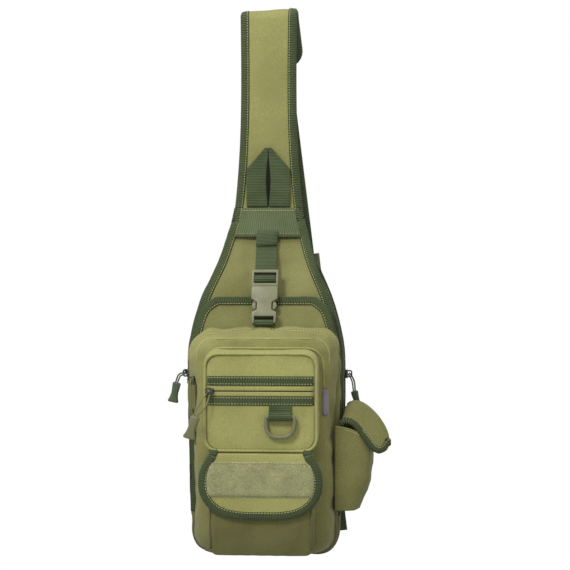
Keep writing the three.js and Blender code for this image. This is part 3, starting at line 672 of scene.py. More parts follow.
def cad_piece(node, material, body, slot, width=0.5, segments=2):
    """A bevelled copy of a hard CAD part."""
    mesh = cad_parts[node].data.copy()
    mesh.materials.clear()
    mesh.materials.append(MATERIAL[material])
    made = bpy.data.objects.new(f"{node}_look", mesh)
    bpy.context.scene.collection.objects.link(made)
    work = bmesh.new()
    work.from_mesh(mesh)
    bmesh.ops.remove_doubles(work, verts=work.verts, dist=1e-6)
    bmesh.ops.dissolve_limit(work, angle_limit=math.radians(2), verts=work.verts, edges=work.edges)
    work.to_mesh(mesh)
    work.free()
    mesh.polygons.foreach_set("use_smooth", [True] * len(mesh.polygons))
    bevel(made, width, segments)
    box_mapped(made)
    return settle(made, body, slot, node)


# ------------------------------------------------------------------ bindings
def land(tree, place, normal, lift, reach=25.0):
    """The point on the cloth below or above place, lifted along normal."""
    found = hit(tree, place + normal * reach, -normal) if tree else None
    if found is None or (found - place).length > reach:
        found = place
    return found + normal * lift


def folded_edge(name, stations, face, wall, thick=1.1):
    """A binding round an edge. Each station is (edge point, inward, backward, tree): the binding reaches
    face mm inward over the front and wall mm backward over the side."""
    outer, inner = [], []
    for place, inward, back, tree in stations:
        top, low = [], []
        for part, lift in ((1, 0.1), (0.95, 0.9), (0.5, 1), (0.12, 1)):
            spot = place + inward * (face * part)
            top.append(land(tree, spot, -back, lift=thick * lift))
            low.append(land(tree, spot, -back, lift=-0.5))
        round_edge = (-inward - back).normalized()
        top.append(place + round_edge * (thick * 0.9))
        low.append(place - round_edge * 0.5)
        for part, lift in ((0.12, 1), (0.5, 1), (0.95, 0.9), (1, 0.1)):
            spot = place + back * (wall * part)
            top.append(land(tree, spot, -inward, lift=thick * lift, reach=8.0))
            low.append(land(tree, spot, -inward, lift=-0.5, reach=8.0))
        outer.append(top)
        inner.append(low)
    return grid_solid(name, outer, inner, "binding")


def wrapped_edge(name, stations, reach, gap, thick):
    """A binding folded over a thin pad's edge. Each station is (edge point, inward, normal)."""
    outer, inner = [], []
    for index, (place, inward, normal) in enumerate(stations):
        top, low = [], []
        for side in (1, -1):
            part_list = ((1, 0.1), (0.94, 0.9), (0.5, 1), (0.1, 1))
            for part, lift in part_list if side == 1 else reversed(part_list):
                spot = place + inward * (reach * part)
                offset = gap(part, index) / 2
                top.append(spot + normal * (side * (offset + thick * lift)))
                low.append(spot + normal * (side * (offset - 0.5)))
            if side == 1:
                top.append(place - inward * thick)
                low.append(place + inward * 0.5)
        outer.append(top)
        inner.append(low)
    return grid_solid(name, outer, inner, "binding")


# ------------------------------------------------------------------ main body
def straight(first, last, step):
    count = max(1, round(abs(last - first) / step))
    return [first + (last - first) * k / count for k in range(count + 1)]


def side_inward(half, z, sign, step=1.5):
    """The direction inward, in x and z, from the side outline at height z; sign is 1 on the right."""
    along = Vector((half(z - step) - half(z + step), 0, -2 * step)).normalized()
    return Vector((along.z * sign, 0, -along.x)).normalized()


def side_stations(half, front, levels, sign, tree):
    """Stations down one side's front edge, for folded_edge."""
    stations = []
    for z in levels:
        place = Vector((half(z) * sign, front(z), z))
        slope = (front(z - 2) - front(z + 2)) / -4
        back = Vector((0, 1, -slope)).normalized()
        stations.append((place, side_inward(half, z, sign), back, tree))
    return stations


def seam_stitches(stations, inset, tree, lift=1.2, material="thread"):
    points = [land(tree, s[0] + s[1] * inset, -s[2], lift=lift) for s in stations]
    stitch_line(points, [-s[2] for s in stations], "bag", material)


MAIN_TOP, MAIN_BOTTOM, SAG_END = -246.5, -631.5, -632.0
main_panel = surface_tree(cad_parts["main_front_panel"])
back_panel = surface_tree(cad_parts["back_panel"])


def main_half(z):
    """A little inside the panel's outline, because the cloth and its binding swell outwards."""
    taper = 2.6 * clamped((-450 - z) / 140)
    return half_at(back_panel, -10, clamped(z, MAIN_BOTTOM + 0.2, -246.2)) - 1.5 - taper


def main_front(z):
    return front_at(main_panel, 0, clamped(z, -630, -247), -60.3)


def chest_share(place):
    """The front creases most beside the compression strap, and little at the seams and side zips."""
    inside = clamped((main_half(place.z) - 6 - abs(place.x)) / 16, 0.2)
    return inside * clamped((-252 - place.z) / 30)


def furrow(piece):
    """The taut compression strap draws two shallow valleys in the front beside it."""
    for vertex in piece.data.vertices:
        x, y, z = vertex.co / MM
        if y < -28 and z < -262:
            beside = math.exp(-((abs(x) - 17) / 8) ** 2)
            along = math.exp(-((z + 308) / 36) ** 2)
            vertex.co.y += 4.5 * beside * along * MM


def build_main_body():
    rows = edge_rows(MAIN_TOP, MAIN_BOTTOM, top_corner=0.6, bottom_corner=25)
    body = shell("main_body", rows, main_half, lambda x, z: main_front(z) + roll_under(z, -585),
                 lambda x, z: -15.3, walls=7, material="wear_and_shade")
    inflate(body, pressure=2.0, slack=0.02, cap=1.6)
    crease(body, height=3.4, size=40, stretch=(1.2, 1, 0.6), seed=3.0, keep=chest_share)
    furrow(body)
    subdivide(body)
    return settle(body, "bag", "khaki_cloth", "main_front_panel", "main_gusset")


def edge_half(z):
    return strap_half(z) + 0.3 if z > MAIN_TOP else main_half(z)


def edge_front(z):
    return strap_front(z) + 0.8 if z > MAIN_TOP else main_front(z)


def build_front_bindings(tree):
    """The bindings down the body's front edges, which run on from the strap's under the cross band's ends."""
    for sign, side in ((-1, "left"), (1, "right")):
        stations = side_stations(edge_half, edge_front, straight(-229, -585, 3.0), sign, tree)
        strip = folded_edge(f"front_binding_{side}_look", stations, face=BINDING + 0.6, wall=BINDING,
                            thick=1.3)
        settle(strip, "bag", "green_binding", f"front_binding_{side}")
        seam_stitches(stations, inset=7.8, tree=tree)
        seam_stitches([s for s in stations if s[0].z > -330], inset=5.8, tree=tree, lift=1.25,
                      material="dark_thread")


def roll_under(z, start, deep=12):
    """How far a front face falls back near the bag's bottom, where it sags under."""
    return deep * max(0.0, (start - z) / (start - SAG_END)) ** 2


def back_crown(x, z):
    """The back panel's padding: two tall cushions and a channel between them."""
    edge = clamped((main_half(z) - 9 - abs(x)) / 12)
    channel = clamped(abs(x) / 9) ** 2
    level = clamped(abs((z + 300) % 84 - 42) / 5)
    ends = clamped((z - MAIN_BOTTOM - 6) / 14) * clamped((-262 - z) / 14)
    return 3.2 * edge * channel * level * ends


BACK_FACE = -5.0


def build_back_panel():
    rows = edge_rows(MAIN_TOP, MAIN_BOTTOM, top_corner=0.6, bottom_corner=25, step=4.0)
    pad = shell("back_pad", rows, main_half, lambda x, z: BACK_FACE + back_crown(x, z), lambda x, z: -15.0,
                walls=2, material="mesh", columns=40)
    del pad["pinned"]
    crease(pad, height=0.5, size=30, seed=8.0)
    subdivide(pad)
    settle(pad, "bag", "khaki_shade_cloth", "back_panel")
    tree = surface_tree(pad)
    for sign, side in ((-1, "left"), (1, "right")):
        stations = []
        for z in straight(-252, -585, 3.0):
            place = Vector((main_half(z) * sign, BACK_FACE, z))
            stations.append((place, side_inward(main_half, z, sign), FRONT, tree))
        strip = folded_edge(f"rear_binding_{side}_look", stations, face=BINDING, wall=BINDING)
        settle(strip, "bag", "green_binding", *(["rear_binding"] if sign > 0 else []))
        seam_stitches(stations, inset=7.4, tree=tree)


# ------------------------------------------------------------------ middle compartment
mid_panel = surface_tree(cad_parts["mid_panel"])
MID_TOP, MID_BOTTOM = -334.5, -625.5


def mid_front(z):
    return front_at(mid_panel, 0, clamped(z, -625, -335), -78.0)


def mid_half(z):
    level = clamped(z, MID_BOTTOM + 0.2, -334.3)
    narrow = 3.8 * clamped((z + 410) / 40) + 3.0 * clamped((-450 - z) / 140)
    return half_at(mid_panel, mid_front(level) + 1.2, level) - narrow


def build_mid():
    rows = edge_rows(MID_TOP, MID_BOTTOM, top_corner=0.6, bottom_corner=24)
    body = shell("mid_body", rows, mid_half, lambda x, z: mid_front(z) + roll_under(z, -585),
                 lambda x, z: main_front(z) - 0.6, walls=4, material="wear_and_shade")
    inflate(body, pressure=2.0, slack=0.02, cap=1.5)
    crease(body, height=2.2, size=36, stretch=(1, 1, 0.7), seed=5.0,
           keep=lambda p: clamped((mid_half(p.z) - 4 - abs(p.x)) / 10, 0.1))
    subdivide(body)
    tree = surface_tree(body)
    settle(body, "bag", "khaki_cloth", "mid_panel", "mid_gusset")
    corner = [Vector((mid_half(z), mid_front(z), z)) for z in straight(-336, -396, 2.0)]
    top = [Vector((x, mid_front(-334.5), -334.2)) for x in straight(0, corner[0].x - 2, 3.0)]
    right = [*top, *corner]
    edge = [Vector((-p.x, p.y, p.z)) for p in reversed(right[1:])] + right
    edge = resample(edge, 2.5)
    last = len(edge) - 1
    edge = [sum((edge[clamped(i + k, 0, last)] for k in (-1, 0, 1)), Vector()) / 3 for i in range(len(edge))]
    stations = []
    for index, place in enumerate(edge):
        along = heading(edge, index)
        inward = Vector((along.z, 0, -along.x)).normalized()
        stations.append((place, inward, BACK, tree))
    strip = folded_edge("mid_binding_look", stations, face=BINDING, wall=4.0)
    settle(strip, "bag", "green_binding", "mid_binding")
    seam_stitches(stations, inset=7.2, tree=tree)
    stations = side_stations(mid_half, mid_front, straight(-462, -578, 3.0), -1, tree)
    settle(folded_edge("mid_side_binding", stations, face=7.0, wall=2.5, thick=0.9), "bag", "green_binding")
    return tree


# ------------------------------------------------------------------ strap
FOLD_Z, FOLD_INNER, PAD, STRAP_FRONT = -5.0, 5.0, 8.0, -13.0
REAR_END, REAR_HALF, REAR_CORNER = -62.0, 34.0, 20.0
strap_pad = surface_tree(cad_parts["strap_pad"])


def strap_half(z):
    return half_at(strap_pad, -8.0, clamped(z, -245.0, -6.0)) - 1.5


def strap_front(z):
    """The strap's front face runs forward at its foot to meet the body."""
    return STRAP_FRONT - 6 * clamped((-226 - z) / 20)


def strap_stations():
    """Down-facing frames from the strap's foot, up over the fold and down the rear run:
    (centre, across, outward, half-width, thickness)."""
    stations = []
    for z in straight(-246.5, FOLD_Z, 4.0):
        front, rear = strap_front(z), -5
        stations.append((Vector((0, (front + rear) / 2, z)), RIGHT, FRONT, strap_half(z), rear - front))
    for angle in straight(7.5, 172.5, 15):
        turn = math.radians(angle)
        out = Vector((0, -math.cos(turn), math.sin(turn)))
        centre = Vector((0, 0, FOLD_Z)) + out * (FOLD_INNER + PAD / 2)
        share = angle / 180
        across = Vector((math.cos(LEAN * share), 0, math.sin(LEAN * share)))
        stations.append((centre, across, out, strap_half(-8) + (REAR_HALF - strap_half(-8)) * share, PAD))
    down = Vector((math.sin(LEAN), 0, -math.cos(LEAN)))
    across = Vector((math.cos(LEAN), 0, math.sin(LEAN)))
    for run in straight(0, FOLD_Z - REAR_END - 1, 4.0):
        centre = Vector((0, FOLD_INNER + PAD / 2, FOLD_Z)) + down * run
        left = FOLD_Z - REAR_END - run
        into = max(0.0, REAR_CORNER - left)
        narrowed = REAR_CORNER - math.sqrt(REAR_CORNER ** 2 - into ** 2)
        stations.append((centre, across, BACK, REAR_HALF - narrowed, PAD))
    return stations


def pad_thickness(part, thick):
    """The strap is plump in the middle and pinched under its bindings."""
    return thick * (1 - 0.42 * max(0.0, (abs(part) - 0.62) / 0.38) ** 1.6)


def strap_faces(station, part):
    centre, across, out, half, thick = station
    middle = centre + across * (half * part)
    rise = out * (pad_thickness(part, thick) / 2)
    return middle + rise, middle - rise


def build_strap():
    stations = strap_stations()
    pad = layered("strap_pad_look", stations, [k / 10 - 1 for k in range(21)], strap_faces, "khaki")
    crease(pad, height=0.7, size=34, stretch=(1, 1, 0.8), seed=11.0)
    subdivide(pad)
    settle(pad, "bag", "khaki_cloth", "strap_pad")
    for sign in (-1, 1):
        places = [s for s in stations if s[0].z > -231.5]
        path = []
        for centre, across, out, half, thick in places:
            path.append((centre + across * (half * sign), across * -sign, out, thick))
        rails = [(p, a, n) for p, a, n, _ in path]
        strip = wrapped_edge(f"strap_binding_{sign}", rails, reach=9.5,
                             gap=lambda part, at: path[at][3] * pad_thickness(1 - 0.29 * part, 1.0),
                             thick=1.0)
        settle(strip, "bag", "green_binding", *(["strap_binding"] if sign > 0 else []))
        line = [p + a * 7.6 + n * (t * 0.5 - 0.1) for p, a, n, t in path]
        stitch_line(line, [n for _, _, n, _ in path], "bag", "thread", lift=0.9)
    centre, across, out, half, thick = stations[-1]
    rails = [(centre + across * (half * p), Vector((-math.sin(LEAN), 0, math.cos(LEAN))), out)
             for p in [k / 8 - 1 for k in range(17)]]
    strip = wrapped_edge("strap_end_binding", rails, reach=9.0, gap=lambda part, at: 6.4 + 1.4 * part,
                         thick=1.0)
    settle(strip, "bag", "green_binding")
    return pad


# the cross band's face from its top edge to its bottom edge, as (z, y)
BAND_FACE = [(-228.8, -15.9), (-229.2, -16.4), (-234, -18.4), (-240, -20.6), (-246, -22.6), (-252, -25.6),
             (-258, -28.6), (-263.6, -31.4), (-264.2, -31.0)]


def band_faces(part, place):
    """The band's two faces at a share of its width, between the bindings on either side of it."""
    z, y = place
    half = (strap_half(z) if z > -245 else main_half(z)) - 8.2
    ripple = 0.25 * math.sin(part * 21) + 0.2 * math.sin(part * 9 + z * 0.2)
    edge = 0.9 if place in (BAND_FACE[0], BAND_FACE[-1]) else 2.4
    return Vector((half * part, y + 0.6 - edge + ripple * 0.5, z)), Vector((half * part, y + 1.2, z))


def build_cross_band():
    parts = straight(-1, 1, 0.06)
    band = layered("cross_band_look", parts, BAND_FACE, band_faces, "band")
    settle(band, "bag", "green_webbing", "cross_band")
    for place, inset in ((BAND_FACE[2], 1.6), (BAND_FACE[6], -1.6)):
        line = [band_faces(part, place)[0] + UP * inset for part in parts]
        stitch_line(line, [FRONT] * len(line), "bag", "thread", lift=0.3)


GRAB = {"foot": -227.8, "shoulder": -183.0, "apex": -157.0, "slit": -162.0, "half": 26.0, "tip": 3.2,
        "front": -17.0, "thick": 2.3}


def grab_rise(z):
    """How far up the grab loop a height is, and how far forward the loop bows there."""
    rise = (z - GRAB["foot"]) / (GRAB["apex"] - GRAB["foot"])
    return rise, 1.4 * math.sin(math.pi * rise) ** 0.8


def grab_leg(sign):
    """One of the grab loop's two legs, which meet at its point and part a little along the slit."""
    shoulder, apex, wide = GRAB["shoulder"], GRAB["apex"], GRAB["half"]

    def faces(z, part):
        rise, bow = grab_rise(z)
        out = wide + (GRAB["tip"] - wide) * max(0.0, (z - shoulder) / (apex - shoulder))
        into = 0.3 + 2.2 * math.sin(math.pi * min(1, rise * 1.2)) if z < GRAB["slit"] else 0.1
        x = into + (out - into) * part
        ruck = 0.35 * math.sin(z * 0.42 + x * 0.13) + 0.5 * math.sin(z * 0.17 + sign)
        edge = 0.7 if part in (0, 1) else 0.0
        face = GRAB["front"] - bow - ruck * 0.6
        return Vector((x * sign, face + edge, z)), Vector((x * sign, face + GRAB["thick"], z))

    heights, parts = straight(GRAB["foot"], apex - 0.5, 2.4), (0, 0.04, 0.25, 0.5, 0.75, 0.96, 1)
    return layered(f"grab_leg_{sign}", heights, parts, faces, "webbing")


def build_grab_loop():
    for sign, nodes in ((-1, []), (1, ["grab_loop"])):
        piece = grab_leg(sign)
        subdivide(piece)
        settle(piece, "grab_loop", "green_webbing", *nodes)

    # A near-black strip behind the slit between the legs: painted shadow in the gap.
    def slit_shadow_faces(z, part):
        bow = grab_rise(z)[1]
        return Vector((3.4 * part, -15.6 - bow, z)), Vector((3.6 * part, -14.9 - bow, z))

    heights = straight(GRAB["foot"] + 2, GRAB["slit"] - 1, 4.0)
    dark = layered("grab_loop_slit_shadow", heights, (-1, 0, 1), slit_shadow_faces, "slit")
    settle(dark, "grab_loop", "green_webbing")


# ------------------------------------------------------------------ front pocket
POCKET = {"back": -78.6, "front": -110.0, "top": -367.0, "front_top": -380.5, "bottom": -622.0,
          "half": 81.0, "front_half": 72.5}


def rounded_half(z, half, top, bottom, corner):
    """The half-width of a rounded rectangle at height z."""
    near = min(top - z, z - bottom)
    if near >= corner:
        return half
    return half - corner + math.sqrt(max(0.0, corner ** 2 - (corner - max(near, 0)) ** 2))


def pocket_fullness(z):
    """The front pocket is fuller near its top, where it is stuffed, than near its hem."""
    return math.exp(-((z + 402) / 42) ** 2)


def pocket_half(z):
    half = rounded_half(z, POCKET["front_half"], POCKET["front_top"], POCKET["bottom"], corner=17.9)
    return half + 3.0 * pocket_fullness(z)


def pocket_face(x, z):
    """The pocket's face is crowned, and falls back towards its sides."""
    share = min(1.0, abs(x) / pocket_half(z))
    return POCKET["front"] + 9.0 * share ** 5 + roll_under(z, -575)


def pocket_rear(x, z):
    """The pocket's back edge is wider than its face, and its left shoulder has slumped."""
    size = (POCKET["top"] - POCKET["bottom"]) / (POCKET["front_top"] - POCKET["bottom"])
    wide = (POCKET["half"] + 6.5 * pocket_fullness(z)) / (POCKET["front_half"] + 3.0 * pocket_fullness(z))
    slump = 0.13 * clamped((z + 410) / 26) if x < 0 else 0.0
    return x * (wide - slump), POCKET["bottom"] + (z - POCKET["bottom"]) * size


def build_front_pocket():
    rows = edge_rows(POCKET["front_top"], POCKET["bottom"], top_corner=18, bottom_corner=18)
    body = shell("front_pocket", rows, pocket_half, pocket_face, lambda x, z: POCKET["back"], walls=5,
                 material="full", columns=26, rear_map=pocket_rear)
    inflate(body, pressure=3, slack=0.03, cap=3.5)
    crease(body, height=3.2, size=34, stretch=(1.1, 1, 0.6), seed=7.0,
           keep=lambda p: clamped((p.z + 622) / 60, 0.3))
    subdivide(body)
    tree = surface_tree(body)
    settle(body, "bag", "khaki_cloth", "front_pocket_gusset", "front_pocket_panel")
    return tree


def rounded_loop(half, top, bottom, corner, y, step=2.5):
    """Points round a rounded rectangle, starting at the middle of its top."""
    points = []
    for cx, cz, start in ((half - corner, top - corner, 90), (half - corner, bottom + corner, 0),
                          (corner - half, bottom + corner, -90), (corner - half, top - corner, -180)):
        for k in range(7):
            angle = math.radians(start - 15 * k)
            points.append(Vector((cx + corner * math.cos(angle), y, cz + corner * math.sin(angle))))
    return resample([*points, points[0]], step)[:-1]


def welt_radius(share):
    """The welt is thin at its two ends and full between them."""
    return 0.3 + 1.2 * math.sin(math.pi * share) ** 0.3


def build_pocket_seams(tree):
    """The front pocket's welt: a rolled seam round the top of its face and a double-stitched top."""
    half, top = POCKET["front_half"] + 2.2, POCKET["front_top"] + 0.3
    loop = [p for p in rounded_loop(half, top, POCKET["bottom"], corner=18, y=0) if p.z > top - 30]
    loop.sort(key=lambda p: (p.x, p.z if p.x < 0 else -p.z))
    line = [land(tree, Vector((p.x, pocket_face(p.x, p.z), p.z)), FRONT, lift=-0.2) for p in loop]
    ring = tube("front_pocket_welt", line, radius=welt_radius, material="bright", sides=8)
    settle(ring, "bag", "khaki_cloth")
    for depth, inset in ((-84.5, 2.0), (-88.5, 3.4)):
        line = []
        for x in straight(-66, 66, 3.0):
            start = Vector((x, depth, -330))
            line.append(hit(tree, start, -UP, Vector((x, depth, POCKET["top"] - inset))))
        stitch_line(line, [(UP + FRONT).normalized()] * len(line), "bag", "thread", lift=0.7)


# ------------------------------------------------------------------ upper pocket
UPPER = {"back": -110.6, "front": -134.0, "top": -391.0, "front_top": -396.5, "bottom": -502.0,
         "half": 61.0, "corner": 14.0}
UPPER_SPREAD = 1.05  # the pocket is a little wider where it is sewn to the front pocket


ZIP_LEVEL = -436.9
TAPE_STITCHED = 58.0  # how far the tapes' stitching runs each side of the middle


def press_flat(piece, level, reach, face):
    """Keeps the cloth round a straight zip from standing forward of the face."""
    for vertex in piece.data.vertices:
        if abs(vertex.co.z / MM - level) < reach:
            vertex.co.y = max(vertex.co.y, face * MM)


def build_upper_pocket():
    top, bottom, half, corner = (UPPER[k] for k in ("front_top", "bottom", "half", "corner"))
    rows = edge_rows(top, bottom, top_corner=corner, bottom_corner=corner, step=5.0)
    stretch = (UPPER["top"] - bottom) / (top - bottom)
    body = shell("upper_pocket", rows, lambda z: rounded_half(z, half, top, bottom, corner=corner),
                 lambda x, z: UPPER["front"] + 0.6, lambda x, z: UPPER["back"], walls=4, material="bright",
                 columns=22, rear_map=lambda x, z: (x * UPPER_SPREAD, bottom + (z - bottom) * stretch))
    inflate(body, pressure=1.2, slack=0.01, cap=1.2)
    crease(body, height=0.9, size=30, stretch=(0.8, 1, 1), seed=9.0)
    press_flat(body, level=ZIP_LEVEL, reach=8.0, face=UPPER["front"] + 0.2)
    subdivide(body)
    tree = surface_tree(body)
    settle(body, "bag", "khaki_cloth", "upper_pocket_gusset", "upper_pocket_top_panel",
           "upper_pocket_bottom_panel")
    front = rounded_loop(half + 0.6, top + 0.6, bottom - 0.6, corner=corner, y=UPPER["front"] + 0.4)
    ring = tube("upper_pocket_piping_look", front, radius=1.7, material="bright", closed=True, sides=10)
    settle(ring, "bag", "khaki_cloth", "upper_pocket_piping")
    return tree


def build_outer_seam(tree):
    """The seam that joins the upper pocket's side to the front pocket's face, a raised line round its top."""
    for sign, reach, low in ((1, 68.5, -436), (-1, 64.5, -425)):
        loop = rounded_loop(reach, UPPER["top"] + 0.5, UPPER["bottom"], corner=19, y=0, step=2.0)
        side = sorted((p for p in loop if p.x * sign >= -2 and p.z > low), key=lambda p: p.z - p.x * sign)
        line = [land(tree, Vector((p.x, pocket_face(p.x, p.z), p.z)), FRONT, lift=0.1) for p in side]
        ridge = tube(f"upper_pocket_seam_{sign}", line, radius=1.25, material="bright", sides=8)
        settle(ridge, "bag", "khaki_cloth")


def build_upper_zip(tree):
    face = UPPER["front"]
    for name, centre in (("tape_strip_top", -425.5), ("tape_strip_bottom", -447.5)):
        line = [(-59.2, centre), (59.2, centre)]
        tape = draped_strip(f"{name}_look", tree, line, width=10.4, thick=0.9, material="webbing", columns=4,
                            step=4.0, fallback=face)
        settle(tape, "bag", "green_webbing", name)
        for offset in (-3.4, 3.4):
            level = centre + offset
            seam = [on_front(tree, x, level, 1.1, face) for x in straight(-TAPE_STITCHED, TAPE_STITCHED, 2.0)]
            stitch_line(seam, [FRONT] * len(seam))
    lips = (("zip_tape_upper", -434.0, 4.6, 1.2, ["upper_zip"]), ("zip_tape_lower", -439.9, 4.8, 0.9, []))
    for name, centre, wide, thick, nodes in lips:
        lip = draped_strip(name, tree, [(-58, centre), (59, centre)], width=wide, thick=thick,
                           material="bright", columns=4, step=4.0, fallback=face)
        settle(lip, "bag", "khaki_cloth", *nodes)
    # A near-black strip under the coil, between the lips: painted shadow in the zip's opening.
    line = [(-57, ZIP_LEVEL), (59, ZIP_LEVEL)]
    slit = draped_strip("zip_gap_shadow", tree, line, width=2.2, thick=0.25, material="slit", columns=2,
                        step=4.0, fallback=face)
    settle(slit, "bag", "khaki_shade_cloth")
    coil = [on_front(tree, x, ZIP_LEVEL, -0.2, face) for x in straight(-55, 58, 0.9)]
    chain = tube("upper_zip_chain", [p + Vector((0, 0, 0.35 * (-1) ** i)) for i, p in enumerate(coil)],
                 radius=0.62, material="coil", sides=6)
    settle(chain, "bag", "dark_metal")


LABEL = {"left": 67.3, "width": 6.6, "lean": 2.2, "top": -437, "bottom": -466, "thick": 0.8}


def build_label(tree):
    """A blank woven tag sewn flat by the front pocket's right edge; its outer side stands back a little."""

    def faces(z, part):
        base = front_at(tree, LABEL["left"], z, POCKET["front"])
        place = Vector((LABEL["left"] + LABEL["width"] * part, base + LABEL["lean"] * part, z))
        return place + FRONT * (0.1 if part in (0, 1) else LABEL["thick"]), place + BACK * 0.6

    heights, parts = straight(LABEL["top"], LABEL["bottom"], 3.0), (0, 0.03, 0.35, 0.65, 0.97, 1)
    settle(layered("label_look", heights, parts, faces, "label"), "bag", "label_cloth", "label")


def build_d_ring():
    ring = frame_ring((22.0, -139.6, -464.3), half=18.0, drop=27.0, wire=4.5)
    piece = tube("d_ring_look", ring, radius=2.2, material="plastic", closed=True, sides=14)
    settle(piece, "d_ring", "moulded_plastic", "d_ring")
    cad_piece("d_ring_tab", "webbing", "bag", "green_webbing", width=0.5)


SQUARE = 0.72  # below 1, the ring's bow is squarer than a half ellipse


def frame_ring(centre, half, drop, wire):
    """The centreline of a D-ring whose straight bar is at the top."""
    x, y, z = centre
    reach = half - wire / 2
    bow = []
    for angle in range(0, 181, 10):
        c, s = math.cos(math.radians(angle)), math.sin(math.radians(angle))
        across = math.copysign(reach * abs(c) ** SQUARE, c)
        bow.append((x + across, z - 5 - (drop - wire - 5) * s ** SQUARE))
    bar = [(x - reach + 2, z), (x + reach - 2, z), (x + reach - 0.4, z - 0.9)]
    outline = [*bar, *bow, (x - reach + 0.4, z - 0.9)]
    return resample([Vector((a, y, b)) for a, b in [*outline, outline[0]]], 1.4)[:-1]


# ------------------------------------------------------------------ lower pocket and flap
FLAP = {"top": -505.2, "bottom": -577.8, "back": -136.3, "front": -138.9}
# the flap's half-width at each height, as (z, half)
FLAP_SIDE = [(-504, 55), (-510, 58.5), (-518, 63.5), (-527, 67), (-537, 68), (-547, 67), (-556, 63.5),
             (-564, 57.5), (-570, 50), (-574.5, 40), (-577, 27), (-578, 13)]
FLAP_ENDS = [(55.8, -134.5, -502.4), (57.6, -129.5, -499.5), (59.5, -124.5, -496.5)]  # under the upper pocket


def flap_half(z):
    for (high, a), (low, b) in zip(FLAP_SIDE, FLAP_SIDE[1:]):
        if z >= low:
            return a + (b - a) * (high - z) / (high - low)
    return FLAP_SIDE[-1][1]


def flap_depth(x, z):
    """The flap bellies forward a little over the full pocket and ripples slightly, most at its rounded hem.
    """
    low = (FLAP["top"] - z) / (FLAP["top"] - FLAP["bottom"])
    return -1.3 * math.sin(math.pi * low) * (1 - (x / 75) ** 2) - 0.5 * low * math.sin(x * 0.06)


LOWER = {"top": -505.0, "bottom": -620.0, "half": 57.0, "front": -133.0, "back": -110.6}


def lower_half(z):
    """The pocket is straight-sided to its open top, and rounded at its hem's corners."""
    return rounded_half(z, LOWER["half"], math.inf, LOWER["bottom"], corner=7)


def lower_face(z):
    """The lower pocket's front: it leans back to its mouth, under the flap, and rolls under at its hem."""
    mouth = max(0.0, (z + 528) / 23)
    return LOWER["front"] + 7.0 * mouth ** 2 + roll_under(z, -560, 16)


def lower_share(place):
    """The pocket's front creases in the middle, and stays straight under the flap and at its hem."""
    return clamped((-540 - place.z) / 25, 0.15) * clamped((place.z + 618) / 22, 0.1)


def build_lower_pocket():
    rows = edge_rows(LOWER["top"], LOWER["bottom"], top_corner=0.6, bottom_corner=7, step=5.0)
    body = shell("lower_pocket_look", rows, lower_half, lambda x, z: lower_face(z),
                 lambda x, z: LOWER["back"] + roll_under(z, -575), walls=4, material="low", columns=22)
    inflate(body, pressure=1.5, slack=0.02, cap=1.6)
    crease(body, height=2.6, size=30, stretch=(1, 1, 0.8), seed=13.0, keep=lower_share)
    subdivide(body)
    tree = surface_tree(body)
    settle(body, "bag", "khaki_cloth", "lower_pocket")
    line = [(-50, -552.5), (50, -552.5)]
    strip = draped_strip("pocket_loop_look", tree, line, width=24, thick=1.1, material="pile", columns=4,
                         step=5.0, fallback=LOWER["front"])
    settle(strip, "bag", "loop_pile", "pocket_loop_strip")
    for sign in (-1, 1):
        edge = [Vector((56.4 * sign, lower_face(z) - 0.4, z)) for z in straight(-530, -612, 3)]
        welt = tube(f"lower_pocket_welt_{sign}", edge, radius=1.2, material="wear_and_shade", sides=8)
        settle(welt, "bag", "khaki_cloth")
    cad_piece("flap_hinge_strip", "khaki", "bag", "khaki_shade_cloth", width=0.4)


COVER_HINGE = (92.5, 106.0)  # the side cover's hinge lies between these distances from the bag's middle


def across_hinge(piece, node):
    """Cloth that is sewn to the bag at one edge: hides the CAD node that it stands for and bakes the piece's
    place into its mesh.
    """
    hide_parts(node)
    if node.startswith("side"):
        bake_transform(piece)
    else:
        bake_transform(piece)


PILE = {"top": -514, "bottom": -553, "thick": 1.5, "seam": 1.6}


def pile_faces(z, part):
    """The pile panel's two faces, from binding to binding across the flap."""
    x = (flap_half(z) - BINDING + 0.6) * part
    base = FLAP["front"] + flap_depth(x, z)
    edge = 0.2 if abs(part) == 1 or z in (PILE["top"], PILE["bottom"]) else PILE["thick"]
    return Vector((x, base - edge, z)), Vector((x, base + 0.6, z))


def build_loop_panel():
    heights = straight(PILE["top"], PILE["bottom"], 3.0)
    parts = (-1, -0.985, *[k / 8 for k in range(-7, 8)], 0.985, 1)
    panel = layered("loop_panel_look", heights, parts, pile_faces, "pile")
    settle(panel, "lower_flap", "loop_pile", "loop_panel")
    for z in (PILE["top"] - PILE["seam"], PILE["bottom"] + 1.4):
        line = [Vector((x, FLAP["front"] + flap_depth(x, z) - 1.7, z)) for x in straight(-55, 55, 3)]
        stitch_line(line, [FRONT] * len(line), "lower_flap", "dark_thread", lift=0.0)


